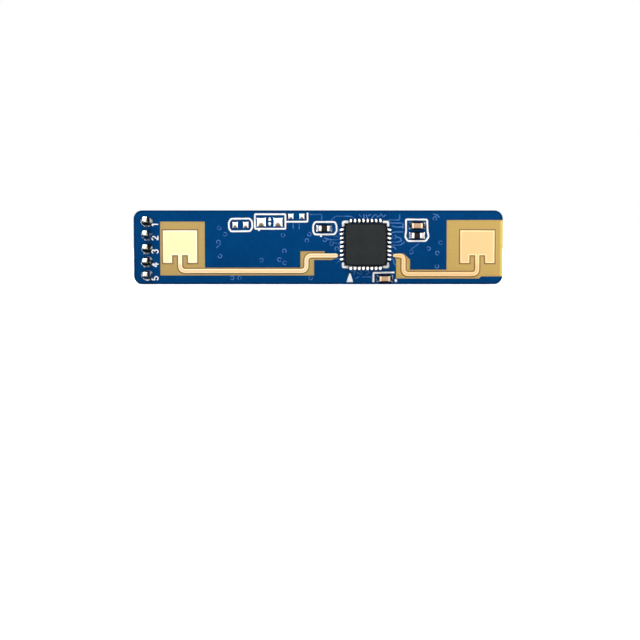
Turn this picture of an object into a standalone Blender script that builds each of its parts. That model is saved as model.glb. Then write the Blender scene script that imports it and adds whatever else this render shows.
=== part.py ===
"""Microwave radar sensor module: a narrow circuit board with two patch antennas and the radar chip on
one side, and a pin header, a controller and its chip parts on the other.

The board stands on its lower long edge, with the antenna side facing -Y. X runs along the board from the
header end, Z up across it. The origin is the middle of the lower edge's face. Sizes are in metres.
"""

import math

import bmesh
import bpy
from mathutils import Matrix

# Board
BOARD_LENGTH = 35.0e-3
BOARD_WIDTH = 7.0e-3
BOARD_THICKNESS = 1.0e-3
CORNER_RADIUS = 0.8e-3
MASK_THICKNESS = 0.04e-3
LAND_HEIGHT = 0.05e-3
LAND_ROOT = 0.15e-3
BARE_RIM = 0.20e-3
SEAT_GAP = 0.01e-3
ARC_STEPS = 6
RING_SIDES = 20
WELD = 2e-6
MM_PER_METRE = 1000

# Patch antennas, measured from the ends and the lower edge of the board
PATCH_LENGTH = 3.24e-3
PATCH_HEIGHT = 3.08e-3
NOTCH_WIDTH = 1.50e-3
NOTCH_DEPTH = 0.74e-3
FEED_WIDTH = 0.38e-3
FEED_BEND_RADIUS = 0.45e-3
COPPER_THICKNESS = 0.06e-3
PATCH_BASE = 2.02e-3
TRANSMIT_END_TO_PATCH = 4.39e-3
RECEIVE_END_TO_PATCH = 2.40e-3
TRANSMIT_FEED_HEIGHT = 1.26e-3
RECEIVE_FEED_HEIGHT = 0.97e-3
TRANSMIT_JOG = 2.85e-3
RECEIVE_JOG = 0.84e-3
CHIP_FEED_DROP = 1.05e-3
FEED_TO_LAND = 0.20e-3

# Windows left bare of solder mask round the antennas
TRANSMIT_WINDOW_BEFORE = 0.27e-3
TRANSMIT_WINDOW_AFTER = 0.74e-3
TRANSMIT_WINDOW_ABOVE = 0.85e-3
TRANSMIT_FEED_MARGIN = 0.33e-3
TRANSMIT_JOG_BEFORE = 0.57e-3
TRANSMIT_JOG_AFTER = 0.74e-3
TRANSMIT_BAND = 1.74e-3
RECEIVE_WINDOW_BEFORE = 1.30e-3
RECEIVE_WINDOW_ABOVE = 0.99e-3
RECEIVE_FEED_MARGIN = 0.42e-3
RECEIVE_JOG_BEFORE = 0.71e-3
RECEIVE_JOG_AFTER = 0.62e-3
WINDOW_BELOW_FEED = 0.43e-3
CHIP_FEED_MARGIN = 0.42e-3
FEED_TO_MASK = 0.03e-3

# Quad flat packages: the radar chip and the controller
LEAD_PITCH = 0.40e-3
LEAD_LAND_WIDTH = 0.20e-3
LEAD_LAND_LENGTH = 0.62e-3
LEAD_LAND_REACH = 0.38e-3
LEAD_FRAME_HEIGHT = 0.20e-3
LEAD_FRAME_STEP = 0.02e-3
RADAR_CHIP_SIDE = 4.0e-3
RADAR_CHIP_HEIGHT = 0.80e-3
RADAR_CHIP_LEADS = 8
CONTROLLER_SIDE = 3.0e-3
CONTROLLER_HEIGHT = 0.75e-3
CONTROLLER_LEADS = 5
PACKAGE_EDGE = 0.04e-3
PACKAGE_CORNER = 0.15e-3
THERMAL_VIAS = 4
THERMAL_VIA_PITCH = 0.75e-3
THERMAL_VIA_RADIUS = 0.14e-3

# Pin header
PIN_COUNT = 5
PIN_PITCH = 1.27e-3
PIN_WIDTH = 0.40e-3
PIN_FREE_LENGTH = 3.0e-3
PIN_STUB = 1.05e-3
PIN_TIP = 0.18e-3
PIN_TIP_SHARE = 0.55
HEADER_INSET = 1.20e-3
HOUSING_WIDTH = 2.15e-3
HOUSING_HEIGHT = 2.5e-3
HOUSING_NOTCH = 0.25e-3
HOUSING_END_GAP = 0.02e-3
HOUSING_CHANNEL_WIDTH = 1.0e-3
HOUSING_CHANNEL_DEPTH = 0.15e-3
PIN_CLEARANCE = 0.02e-3
DRILL_CLEARANCE = 0.05e-3
SOLDER_RADIUS = 0.52e-3
SOLDER_HEIGHT = 0.62e-3
SOLDER_LIP = 0.05e-3

# Three-lead regulator
REGULATOR_LENGTH = 2.80e-3
REGULATOR_WIDTH = 1.30e-3
REGULATOR_HEIGHT = 0.98e-3
REGULATOR_DRAFT = 0.10e-3
REGULATOR_PITCH = 0.95e-3
REGULATOR_STANDOFF = 0.06e-3
GULL_REACH = 0.56e-3
GULL_WIDTH = 0.42e-3
GULL_THICKNESS = 0.12e-3
GULL_SHOULDER = 0.14e-3
GULL_BEND_RADIUS = 0.10e-3
TAB_LAND = 1.36e-3
GULL_LAND = 0.92e-3
REGULATOR_LAND_WIDTH = 0.50e-3
GULL_FOOT = 0.30e-3

# Quartz crystal
CRYSTAL_LENGTH = 2.0e-3
CRYSTAL_WIDTH = 1.6e-3
CRYSTAL_BASE_HEIGHT = 0.30e-3
CRYSTAL_CORNER = 0.14e-3
CRYSTAL_RING_MARGIN = 0.03e-3
CRYSTAL_RING_WIDTH = 0.16e-3
CRYSTAL_RING_HEIGHT = 0.12e-3
CRYSTAL_LID_MARGIN = 0.02e-3
CRYSTAL_LID_HEIGHT = 0.08e-3
CRYSTAL_LAND_LENGTH = 0.82e-3
CRYSTAL_LAND_WIDTH = 0.60e-3
CRYSTAL_LAND_REACH = 0.28e-3

# Power inductor
INDUCTOR_LENGTH = 2.65e-3
INDUCTOR_WIDTH = 2.20e-3
INDUCTOR_HEIGHT = 1.20e-3
INDUCTOR_FLANGE = 0.28e-3
INDUCTOR_CHAMFER = 0.35e-3
INDUCTOR_POST_RADIUS = 0.42e-3
INDUCTOR_CAP_MARGIN = 0.25e-3
INDUCTOR_CAP_CORNER = 0.62e-3
INDUCTOR_CAP_WALL = 0.20e-3
INDUCTOR_CAP_EDGE = 0.08e-3
WINDING_WIRE = 0.13e-3
WINDING_TURNS = 4
WINDING_GAP = 0.03e-3
INDUCTOR_LAND_LENGTH = 0.75e-3
INDUCTOR_LAND_WIDTH = 1.90e-3
INDUCTOR_LAND_REACH = 0.04e-3

# Chip parts: length, width, height and the length of the plated ends
SMALL_LENGTH = 1.0e-3
SMALL_WIDTH = 0.50e-3
RESISTOR_HEIGHT = 0.35e-3
CAPACITOR_HEIGHT = 0.50e-3
RESISTOR_END = 0.18e-3
CAPACITOR_END = 0.16e-3
BULK_LENGTH = 1.16e-3
BULK_WIDTH = 0.64e-3
BULK_HEIGHT = 0.60e-3
BULK_END = 0.20e-3
OUTPUT_LENGTH = 1.70e-3
OUTPUT_WIDTH = 0.88e-3
OUTPUT_HEIGHT = 0.80e-3
OUTPUT_END = 0.42e-3
END_WRAP = 0.015e-3
LAND_UNDER = 0.26e-3
LAND_REACH = 0.235e-3
LAND_SIDE = 0.025e-3
FILLET_SHARE = 0.7
FILLET_STEPS = 4

# Bare footprints and other lands
SMALL_FOOTPRINT = (0.50e-3, 0.50e-3, 0.495e-3)
DIODE_FOOTPRINT = (0.87e-3, 0.79e-3, 0.77e-3)
EDGE_FOOTPRINT = (0.48e-3, 0.45e-3, 0.51e-3)
JUMPER_FOOTPRINT = (0.48e-3, 0.50e-3, 0.50e-3)
FIDUCIAL_RADIUS = 0.34e-3
EDGE_LAND_COUNT = 4
EDGE_LAND_PITCH = 2.0e-3
EDGE_LAND_RADIUS = 0.67e-3
EDGE_LAND_INSET = 0.75e-3
INPUT_ROW_PITCH = 0.875e-3
BUS_RESISTORS = 5
BUS_PITCH = 0.955e-3
HEADER_TO_RESISTOR = 0.42e-3
RESISTOR_TO_BULK = 0.81e-3
SPARE_RESISTOR_REACH = 1.82e-3
QUARTER_TURN = math.pi / 2

# Places on the board are shares of its half length and half width from its middle, so that the layout
# stretches with the board. Each side is seen face on, with the header at the left.
RADAR_CHIP_AT = (0.2566, 0.077)
FEED_RESISTOR_AT = (0.033, 0.511)
FRONT_CAPACITOR_AT = (0.535, 0.583)
FRONT_RESISTOR_AT = (0.535, 0.320)
FRONT_SPARE_HEIGHT = -0.849
BARE_SMALL_AT = (-0.421, 0.606)
BARE_DIODE_AT = (-0.263, 0.680)
BARE_EDGE_AT = (-0.118, 0.838)
HEADER_PARTS_HEIGHT = 0.600
INPUT_ROW_AT = (-0.610, 0.583)
REGULATOR_AT = (-0.7006, -0.180)
FIDUCIAL_AT = (-0.574, -0.509)
CONTROLLER_AT = (-0.325, 0.254)
CONTROLLER_CAPACITOR_AT = (-0.250, -0.506)
BUS_COLUMN_AT = (-0.111, 0.276)
FILTER_CAPACITOR_1_AT = (0.039, 0.743)
FILTER_RESISTOR_1_AT = (0.118, 0.848)
FILTER_CAPACITOR_2_AT = (0.118, 0.589)
FILTER_RESISTOR_2_AT = (-0.0155, 0.171)
FILTER_RESISTOR_3_AT = (0.039, 0.163)
CRYSTAL_AT = (0.557, 0.583)
LOAD_CAPACITOR_1_AT = (0.447, 0.606)
LOAD_CAPACITOR_2_AT = (0.6726, 0.526)
INDUCTOR_AT = (0.584, -0.329)
OUTPUT_CAPACITOR_AT = (0.777, -0.377)


def material(name, colour, roughness, metallic=0.0):
    """A plain Principled material."""
    made = bpy.data.materials.new(name)
    made.use_nodes = True
    shader = made.node_tree.nodes["Principled BSDF"]
    shader.inputs["Base Color"].default_value = (*colour, 1.0)
    shader.inputs["Roughness"].default_value = roughness
    shader.inputs["Metallic"].default_value = metallic
    made.diffuse_color = (*colour, 1.0)
    return made


def share(at):
    """A place given in shares of the board's half length and half width, in metres."""
    return at[0] * BOARD_LENGTH / 2, at[1] * BOARD_WIDTH / 2


def clear_scene():
    for old in list(bpy.data.objects):
        bpy.data.objects.remove(old)


def collection(name):
    made = bpy.data.collections.new(name)
    bpy.context.scene.collection.children.link(made)
    return made


def side_frame(name, face_y, turn):
    """An empty at the middle of one face of the board, whose own +Z points out of that face."""
    frame = bpy.data.objects.new(name, None)
    frame.location = (0, face_y, BOARD_WIDTH / 2)
    frame.rotation_euler = (turn, 0, 0)
    frame.empty_display_size = BOARD_WIDTH
    MODULE.objects.link(frame)
    return frame


def piece(name, mesh, finish, side, at=(0, 0), height=0.0, turn=0.0):
    """A named object seated on one side of the board, turned about the normal of that side."""
    made = bpy.data.objects.new(name, mesh)
    made.parent = side
    made.location = (at[0], at[1], height)
    made.rotation_euler = (0, 0, turn)
    if not mesh.materials:
        mesh.materials.append(finish)
    MODULE.objects.link(made)
    return made


def cutter(name, mesh, side, height=0.0):
    """A helper solid for a Boolean, kept out of the model."""
    made = bpy.data.objects.new(name, mesh)
    made.parent = side
    made.location = (0, 0, height)
    made.hide_render = True
    made.display_type = "WIRE"
    CUTTERS.objects.link(made)
    return made


def boolean(target, tool, operation):
    made = target.modifiers.new(tool.name, "BOOLEAN")
    made.object = tool
    made.operation = operation
    made.solver = "EXACT"


def extruded(name, outlines, thickness, edge=0.0):
    """A flat outline, with any holes after it, as a mesh from z=0 up to its thickness; edge rounds it.

    The curve is drawn in millimetres, because Blender's fill drops points that are near each other.
    """
    curve = bpy.data.curves.new(name, "CURVE")
    curve.dimensions = "2D"
    curve.fill_mode = "BOTH"
    curve.extrude = (thickness / 2 - edge) * MM_PER_METRE
    curve.bevel_depth = edge * MM_PER_METRE
    curve.offset = -edge * MM_PER_METRE
    curve.bevel_resolution = 0
    for outline in outlines:
        spline = curve.splines.new("POLY")
        spline.points.add(len(outline) - 1)
        for point, (x, y) in zip(spline.points, outline):
            point.co = (x * MM_PER_METRE, y * MM_PER_METRE, 0, 1)
        spline.use_cyclic_u = True
    guide = bpy.data.objects.new(name, curve)
    bpy.context.scene.collection.objects.link(guide)
    graph = bpy.context.evaluated_depsgraph_get()
    mesh = bpy.data.meshes.new_from_object(guide.evaluated_get(graph))
    bpy.data.objects.remove(guide)
    bpy.data.curves.remove(curve)
    work = bmesh.new()
    work.from_mesh(mesh)
    bmesh.ops.remove_doubles(work, verts=work.verts, dist=WELD * MM_PER_METRE)
    bmesh.ops.translate(work, verts=work.verts, vec=(0, 0, thickness / 2 * MM_PER_METRE))
    bmesh.ops.scale(work, verts=work.verts, vec=[1 / MM_PER_METRE] * 3)
    work.to_mesh(mesh)
    work.free()
    mesh.materials.clear()
    return mesh


def loft(name, rings):
    """A closed solid through rings of points that run anticlockwise seen from the last ring."""
    mesh = bpy.data.meshes.new(name)
    work = bmesh.new()
    rows = [[work.verts.new(point) for point in ring] for ring in rings]
    count = len(rings[0])
    for low, high in zip(rows, rows[1:]):
        for i in range(count):
            j = (i + 1) % count
            work.faces.new((low[i], low[j], high[j], high[i]))
    work.faces.new(tuple(reversed(rows[0])))
    work.faces.new(tuple(rows[-1]))
    work.to_mesh(mesh)
    work.free()
    return mesh


def ring_profile(name, points):
    """The closed section of a turned ring, as edges only. Its points run clockwise in X and Z."""
    mesh = bpy.data.meshes.new(name)
    mesh.from_pydata(points, [(i, (i + 1) % len(points)) for i in range(len(points))], [])
    return mesh


def turned(section):
    """The section turned into a ring about its own Z."""
    turn = section.modifiers.new("turn", "SCREW")
    turn.steps = turn.render_steps = RING_SIDES
    turn.use_merge_vertices = True
    turn.merge_threshold = 1e-7


def rectangle(length, width, centre=(0, 0)):
    """The corners of a rectangle, anticlockwise."""
    x, y = centre
    corners = ((-1, -1), (1, -1), (1, 1), (-1, 1))
    return [(x + sx * length / 2, y + sy * width / 2) for sx, sy in corners]


def level(outline, z):
    return [(x, y, z) for x, y in outline]


def arc(centre, radius, start, end, steps=ARC_STEPS):
    """Points on an arc, both ends included."""
    angles = [start + (end - start) * i / steps for i in range(steps + 1)]
    return [(centre[0] + radius * math.cos(a), centre[1] + radius * math.sin(a)) for a in angles]


def rounded_rectangle(length, width, radius, steps=ARC_STEPS):
    """A rectangle with round corners, anticlockwise from the lower right corner."""
    points = []
    for turn, (sx, sy) in enumerate(((1, -1), (1, 1), (-1, 1), (-1, -1))):
        centre = (sx * (length / 2 - radius), sy * (width / 2 - radius))
        start = (turn - 1) * QUARTER_TURN
        points += arc(centre, radius, start, start + QUARTER_TURN, steps)
    return points


def cut_rectangle(length, width, cut):
    """A rectangle with each corner cut off at 45 degrees."""
    x, y = length / 2, width / 2
    corners = []
    for sx, sy in ((1, 1), (-1, 1), (-1, -1), (1, -1)):
        pair = [(sx * x, sy * (y - cut)), (sx * (x - cut), sy * y)]
        corners += pair if sx == sy else pair[::-1]
    return corners


def rounded_path(corners, radius):
    """A path through the corners, each inner one rounded by an arc."""
    points = [corners[0]]
    for before, corner, after in zip(corners, corners[1:], corners[2:]):
        back = math.atan2(before[1] - corner[1], before[0] - corner[0])
        ahead = math.atan2(after[1] - corner[1], after[0] - corner[0])
        bend = (ahead - back + math.pi) % (2 * math.pi) - math.pi
        reach = radius / math.tan(abs(bend) / 2)
        middle = back + bend / 2
        distance = radius / math.sin(abs(bend) / 2)
        centre = (corner[0] + distance * math.cos(middle), corner[1] + distance * math.sin(middle))
        first = (corner[0] + reach * math.cos(back), corner[1] + reach * math.sin(back))
        last = (corner[0] + reach * math.cos(ahead), corner[1] + reach * math.sin(ahead))
        start = math.atan2(first[1] - centre[1], first[0] - centre[0])
        end = math.atan2(last[1] - centre[1], last[0] - centre[0])
        sweep = (end - start + math.pi) % (2 * math.pi) - math.pi
        points += arc(centre, radius, start, start + sweep)
    points.append(corners[-1])
    return points


def beside(path, offset):
    """The path moved sideways to its left by offset, mitred at each point."""
    moved = []
    for i, point in enumerate(path):
        before = path[max(i - 1, 0)]
        after = path[min(i + 1, len(path) - 1)]
        ways = []
        for a, b in ((before, point), (point, after)):
            length = math.hypot(b[0] - a[0], b[1] - a[1])
            if length > 0:
                ways.append((-(b[1] - a[1]) / length, (b[0] - a[0]) / length))
        nx = sum(w[0] for w in ways) / len(ways)
        ny = sum(w[1] for w in ways) / len(ways)
        scale = offset / (nx * nx + ny * ny)
        moved.append((point[0] + nx * scale, point[1] + ny * scale))
    return moved


def board_outline(inset=0.0):
    return rounded_rectangle(BOARD_LENGTH - 2 * inset, BOARD_WIDTH - 2 * inset, CORNER_RADIUS - inset)


def join_boxes(name, boxes):
    """One mesh of separate boxes, each given as (x, y, z low, z high, length, width, turn)."""
    mesh = bpy.data.meshes.new(name)
    work = bmesh.new()
    for x, y, low, high, length, width, turn in boxes:
        place = Matrix.Translation((x, y, (low + high) / 2)) @ Matrix.Rotation(turn, 4, "Z")
        size = Matrix.Diagonal((length, width, high - low, 1))
        bmesh.ops.create_cube(work, size=1, matrix=place @ size)
    work.to_mesh(mesh)
    work.free()
    return mesh


def join_cylinders(name, places, radius, low, high, sides):
    mesh = bpy.data.meshes.new(name)
    work = bmesh.new()
    for x, y in places:
        bmesh.ops.create_cone(
            work,
            cap_ends=True,
            segments=sides,
            radius1=radius,
            radius2=radius,
            depth=high - low,
            matrix=Matrix.Translation((x, y, (low + high) / 2)),
        )
    work.to_mesh(mesh)
    work.free()
    return mesh


def pin_places():
    """The header's pins, seen from the side that the header stands on."""
    x = -BOARD_LENGTH / 2 + HEADER_INSET
    return [(x, (i - (PIN_COUNT - 1) / 2) * PIN_PITCH) for i in range(PIN_COUNT)]


def lead_rows(at, reach, length, count, low, high):
    """Boxes at the lead pitch on all four sides of a package, each ending at this reach from its middle."""
    boxes = []
    middle = reach - length / 2
    for turn in range(4):
        angle = turn * QUARTER_TURN
        for i in range(count):
            along = (i - (count - 1) / 2) * LEAD_PITCH
            x = at[0] + middle * math.cos(angle) - along * math.sin(angle)
            y = at[1] + middle * math.sin(angle) + along * math.cos(angle)
            boxes.append((x, y, low, high, length, LEAD_LAND_WIDTH, angle))
    return boxes


def package_lands(at, side_length, count):
    reach = side_length / 2 + LEAD_LAND_REACH
    return lead_rows(at, reach, LEAD_LAND_LENGTH, count, -LAND_ROOT, LAND_HEIGHT)


def pair_lands(at, footprint, turn=0.0):
    """Two lands, given as (length, width, distance of each from the middle)."""
    length, width, reach = footprint
    boxes = []
    for way in (-1, 1):
        x = at[0] + way * reach * math.cos(turn)
        y = at[1] + way * reach * math.sin(turn)
        boxes.append((x, y, -LAND_ROOT, LAND_HEIGHT, length, width, turn))
    return boxes


def chip_footprint(kind):
    """The lands under a chip part: they start under its ends and reach out past them."""
    length, width, _, end = kind
    land = LAND_REACH + max(LAND_UNDER, end)
    return land, width + 2 * LAND_SIDE, length / 2 + LAND_REACH - land / 2


def fillets(at, kind, turn):
    """The solder that climbs each end of a chip part, hollow between its crest and its foot."""
    length, width, height, _ = kind
    start = length / 2 + SEAT_GAP
    end = length / 2 + LAND_REACH - LAND_SIDE
    foot = LAND_HEIGHT + SEAT_GAP
    crest = LAND_HEIGHT + FILLET_SHARE * height
    section = [(start, LAND_HEIGHT - LAND_SIDE), (end, LAND_HEIGHT - LAND_SIDE)]
    for i in range(FILLET_STEPS + 1):
        t = i / FILLET_STEPS * QUARTER_TURN
        section.append((end - (end - start) * math.sin(t), crest - (crest - foot) * math.cos(t)))
    side = width / 2 - LAND_SIDE
    ends = []
    for angle in (turn, turn + math.pi):
        rings = []
        for y in (side, -side):
            across = (-y * math.sin(angle), y * math.cos(angle))
            ring = [
                (at[0] + x * math.cos(angle) + across[0], at[1] + x * math.sin(angle) + across[1], z)
                for x, z in section
            ]
            rings.append(ring)
        ends.append(rings)
    return ends


def joined_lofts(name, solids):
    """One mesh of separate lofts."""
    mesh = bpy.data.meshes.new(name)
    work = bmesh.new()
    for rings in solids:
        part = loft(name, rings)
        work.from_mesh(part)
        bpy.data.meshes.remove(part)
    work.to_mesh(mesh)
    work.free()
    return mesh


def crystal_lands(at):
    boxes = []
    for sx in (-1, 1):
        for sy in (-1, 1):
            x = at[0] + sx * (CRYSTAL_WIDTH / 2 + CRYSTAL_LAND_REACH - CRYSTAL_LAND_WIDTH / 2)
            y = at[1] + sy * (CRYSTAL_LENGTH / 2 + CRYSTAL_LAND_REACH / 2 - CRYSTAL_LAND_LENGTH / 2)
            boxes.append((x, y, -LAND_ROOT, LAND_HEIGHT, CRYSTAL_LAND_WIDTH, CRYSTAL_LAND_LENGTH, 0))
    return boxes


def regulator_lands(at):
    """One long land for the single lead, and two for the pair."""
    tip = REGULATOR_WIDTH / 2 + GULL_REACH
    inner = tip - GULL_FOOT
    tab = (at[0] - inner - TAB_LAND / 2, at[1], -LAND_ROOT, LAND_HEIGHT, TAB_LAND, REGULATOR_LAND_WIDTH, 0)
    boxes = [tab]
    for way in (-1, 1):
        x = at[0] + inner + GULL_LAND / 2
        y = at[1] + way * REGULATOR_PITCH
        boxes.append((x, y, -LAND_ROOT, LAND_HEIGHT, GULL_LAND, REGULATOR_LAND_WIDTH, 0))
    return boxes


def feed_route(patch_x, feed_y, jog_x, end_x):
    """The corners of a feed line: down out of the patch, along the board, up the jog and to the chip."""
    chip_y = share(RADAR_CHIP_AT)[1] - CHIP_FEED_DROP
    start_y = PATCH_BASE + NOTCH_DEPTH - BOARD_WIDTH / 2
    return [(patch_x, start_y), (patch_x, feed_y), (jog_x, feed_y), (jog_x, chip_y), (end_x, chip_y)]


def antenna_values(way):
    """Patch middle, feed height, jog and end of the feed: way -1 is the header end, +1 the other."""
    chip_x = share(RADAR_CHIP_AT)[0]
    chip_reach = RADAR_CHIP_SIDE / 2 + LEAD_LAND_REACH + FEED_TO_LAND + FEED_WIDTH / 2
    end_x = chip_x + way * chip_reach
    if way < 0:
        patch_x = -BOARD_LENGTH / 2 + TRANSMIT_END_TO_PATCH
        feed_y = TRANSMIT_FEED_HEIGHT - BOARD_WIDTH / 2
        jog_x = end_x - TRANSMIT_JOG
    else:
        patch_x = BOARD_LENGTH / 2 - RECEIVE_END_TO_PATCH
        feed_y = RECEIVE_FEED_HEIGHT - BOARD_WIDTH / 2
        jog_x = end_x + RECEIVE_JOG
    return patch_x, feed_y, jog_x, end_x


def antenna_outline(way):
    """A square patch, notched at its lower side where the feed line enters, and the line itself."""
    patch_x, feed_y, jog_x, end_x = antenna_values(way)
    low = PATCH_BASE - BOARD_WIDTH / 2
    high = low + PATCH_HEIGHT
    left, right = patch_x - PATCH_LENGTH / 2, patch_x + PATCH_LENGTH / 2
    notch, roof = NOTCH_WIDTH / 2, low + NOTCH_DEPTH
    path = rounded_path(feed_route(patch_x, feed_y, jog_x, end_x), FEED_BEND_RADIUS)
    outline = [(left, low), (left, high), (right, high), (right, low)]
    outline += [(patch_x + notch, low), (patch_x + notch, roof)]
    outline += beside(path, FEED_WIDTH / 2)
    ahead = 0 if end_x > jog_x else math.pi
    outline += arc(path[-1], FEED_WIDTH / 2, ahead + QUARTER_TURN, ahead - QUARTER_TURN)[1:-1]
    outline += beside(path, -FEED_WIDTH / 2)[::-1]
    outline += [(patch_x - notch, roof), (patch_x - notch, low)]
    return outline


def transmit_window():
    """The bare laminate round the patch at the header end, and along its feed line."""
    patch_x, feed_y, jog_x, end_x = antenna_values(-1)
    chip_y = share(RADAR_CHIP_AT)[1] - CHIP_FEED_DROP
    left = patch_x - PATCH_LENGTH / 2 - TRANSMIT_WINDOW_BEFORE
    right = patch_x + PATCH_LENGTH / 2 + TRANSMIT_WINDOW_AFTER
    low = feed_y - WINDOW_BELOW_FEED
    high = PATCH_BASE + PATCH_HEIGHT + TRANSMIT_WINDOW_ABOVE - BOARD_WIDTH / 2
    before, after = jog_x - TRANSMIT_JOG_BEFORE, jog_x + TRANSMIT_JOG_AFTER
    band_end = jog_x + TRANSMIT_BAND
    close = FEED_WIDTH / 2 + FEED_TO_MASK
    outline = [(left, low), (after, low), (after, chip_y - CHIP_FEED_MARGIN)]
    outline += [(end_x - CHIP_FEED_MARGIN, chip_y - CHIP_FEED_MARGIN)]
    outline += arc((end_x, chip_y), close, -QUARTER_TURN, QUARTER_TURN)
    outline += [(band_end + FEED_TO_MASK, chip_y + close), (band_end, chip_y + CHIP_FEED_MARGIN)]
    outline += [(before, chip_y + CHIP_FEED_MARGIN), (before, feed_y + TRANSMIT_FEED_MARGIN)]
    outline += [(right, feed_y + TRANSMIT_FEED_MARGIN), (right, high), (left, high)]
    return outline


def receive_window():
    """The bare laminate round the other patch, out to the end of the board, and along its feed line."""
    patch_x, feed_y, jog_x, end_x = antenna_values(1)
    chip_y = share(RADAR_CHIP_AT)[1] - CHIP_FEED_DROP
    left = patch_x - PATCH_LENGTH / 2 - RECEIVE_WINDOW_BEFORE
    beyond = BOARD_LENGTH / 2 + BARE_RIM
    low = feed_y - WINDOW_BELOW_FEED
    high = PATCH_BASE + PATCH_HEIGHT + RECEIVE_WINDOW_ABOVE - BOARD_WIDTH / 2
    step = low + BARE_RIM
    before, after = jog_x - RECEIVE_JOG_BEFORE, jog_x + RECEIVE_JOG_AFTER
    close = FEED_WIDTH / 2 + FEED_TO_MASK
    outline = [(before, low), (patch_x + FEED_WIDTH / 2, low)]
    outline += [(patch_x + FEED_WIDTH / 2 + BARE_RIM, step), (beyond, step), (beyond, high), (left, high)]
    outline += [(left, feed_y + RECEIVE_FEED_MARGIN), (after, feed_y + RECEIVE_FEED_MARGIN)]
    outline += [(after, chip_y - FEED_WIDTH), (jog_x + FEED_TO_MASK, chip_y + close)]
    outline += arc((end_x, chip_y), close, QUARTER_TURN, 3 * QUARTER_TURN)
    outline += [(before, chip_y - CHIP_FEED_MARGIN)]
    return outline


def make_board(front, back, front_parts, back_parts):
    """The drilled laminate with its antenna windows, tinned lands and solder."""
    chip_at = share(RADAR_CHIP_AT)
    mesh = extruded("circuit_board", [board_outline()], BOARD_THICKNESS)
    board = piece("circuit_board", mesh, BLUE_MASK, front, height=-BOARD_THICKNESS)
    depth = MASK_THICKNESS + BOARD_THICKNESS
    for name, outline in (("transmit_window", transmit_window()), ("receive_window", receive_window())):
        boolean(board, cutter(name, extruded(name, [outline], depth), front, -MASK_THICKNESS), "DIFFERENCE")
    drill = PIN_WIDTH / math.sqrt(2) + DRILL_CLEARANCE
    holes = join_cylinders("pin_holes", pin_places(), drill, -2 * BOARD_THICKNESS, BOARD_THICKNESS, 16)
    boolean(board, cutter("pin_holes", holes, back), "DIFFERENCE")
    spread = [(i - (THERMAL_VIAS - 1) / 2) * THERMAL_VIA_PITCH for i in range(THERMAL_VIAS)]
    places = [(chip_at[0] + x, chip_at[1] + y) for x in spread for y in spread]
    vias = join_cylinders("vias", places, THERMAL_VIA_RADIUS, -2 * BOARD_THICKNESS, BOARD_THICKNESS, 10)
    boolean(board, cutter("vias", vias, front), "DIFFERENCE")
    lands = package_lands(chip_at, RADAR_CHIP_SIDE, RADAR_CHIP_LEADS)
    lands += pair_lands(share(BARE_SMALL_AT), SMALL_FOOTPRINT)
    lands += pair_lands(share(BARE_DIODE_AT), DIODE_FOOTPRINT)
    lands += pair_lands(share(BARE_EDGE_AT), EDGE_FOOTPRINT)
    wedges = []
    for _, kind, _, at, turn in front_parts:
        lands += pair_lands(at, chip_footprint(kind), turn)
        wedges += fillets(at, kind, turn)
    boolean(board, cutter("front_lands", join_boxes("front_lands", lands), front), "UNION")
    boolean(board, cutter("front_solder", joined_lofts("front_solder", wedges), front), "UNION")

    lands = package_lands(share(CONTROLLER_AT), CONTROLLER_SIDE, CONTROLLER_LEADS)
    lands += crystal_lands(share(CRYSTAL_AT)) + regulator_lands(share(REGULATOR_AT))
    row_x, row_y = share(INPUT_ROW_AT)
    lands += pair_lands((row_x - INPUT_ROW_PITCH / 2, row_y), JUMPER_FOOTPRINT, QUARTER_TURN)
    reach = INDUCTOR_LENGTH / 2 + INDUCTOR_LAND_REACH - INDUCTOR_LAND_LENGTH / 2
    lands += pair_lands(share(INDUCTOR_AT), (INDUCTOR_LAND_LENGTH, INDUCTOR_LAND_WIDTH, reach))
    wedges = []
    for _, kind, _, at, turn in back_parts:
        lands += pair_lands(at, chip_footprint(kind), turn)
        wedges += fillets(at, kind, turn)
    boolean(board, cutter("back_lands", join_boxes("back_lands", lands), back), "UNION")
    boolean(board, cutter("back_solder", joined_lofts("back_solder", wedges), back), "UNION")
    fiducial = join_cylinders("fiducial", [share(FIDUCIAL_AT)], FIDUCIAL_RADIUS, -LAND_ROOT, LAND_HEIGHT, 20)
    boolean(board, cutter("fiducial", fiducial, back), "UNION")
    boolean(board, edge_lands(back), "UNION")


def edge_lands(back):
    """The round lands at the far end, clipped by a rim of bare laminate along the board's edge."""
    x = BOARD_LENGTH / 2 - EDGE_LAND_INSET
    places = [(x, (i - (EDGE_LAND_COUNT - 1) / 2) * EDGE_LAND_PITCH) for i in range(EDGE_LAND_COUNT)]
    discs = join_cylinders("edge_lands", places, EDGE_LAND_RADIUS, -LAND_ROOT, LAND_HEIGHT, 28)
    made = cutter("edge_lands", discs, back)
    clip_depth = LAND_ROOT + LAND_HEIGHT + BOARD_THICKNESS
    length, width = BOARD_LENGTH - 2 * BARE_RIM, BOARD_WIDTH - 2 * BARE_RIM
    corner = (CORNER_RADIUS - BARE_RIM) * (2 - math.sqrt(2))
    clip = extruded("edge_clip", [cut_rectangle(length, width, corner)], clip_depth)
    boolean(made, cutter("edge_clip", clip, back, -clip_depth / 2), "INTERSECT")
    return made


def make_antennas(front):
    for name, way in (("transmit_antenna", -1), ("receive_antenna", 1)):
        mesh = extruded(name, [antenna_outline(way)], COPPER_THICKNESS)
        piece(name, mesh, GOLD, front, height=SEAT_GAP - MASK_THICKNESS)


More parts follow.
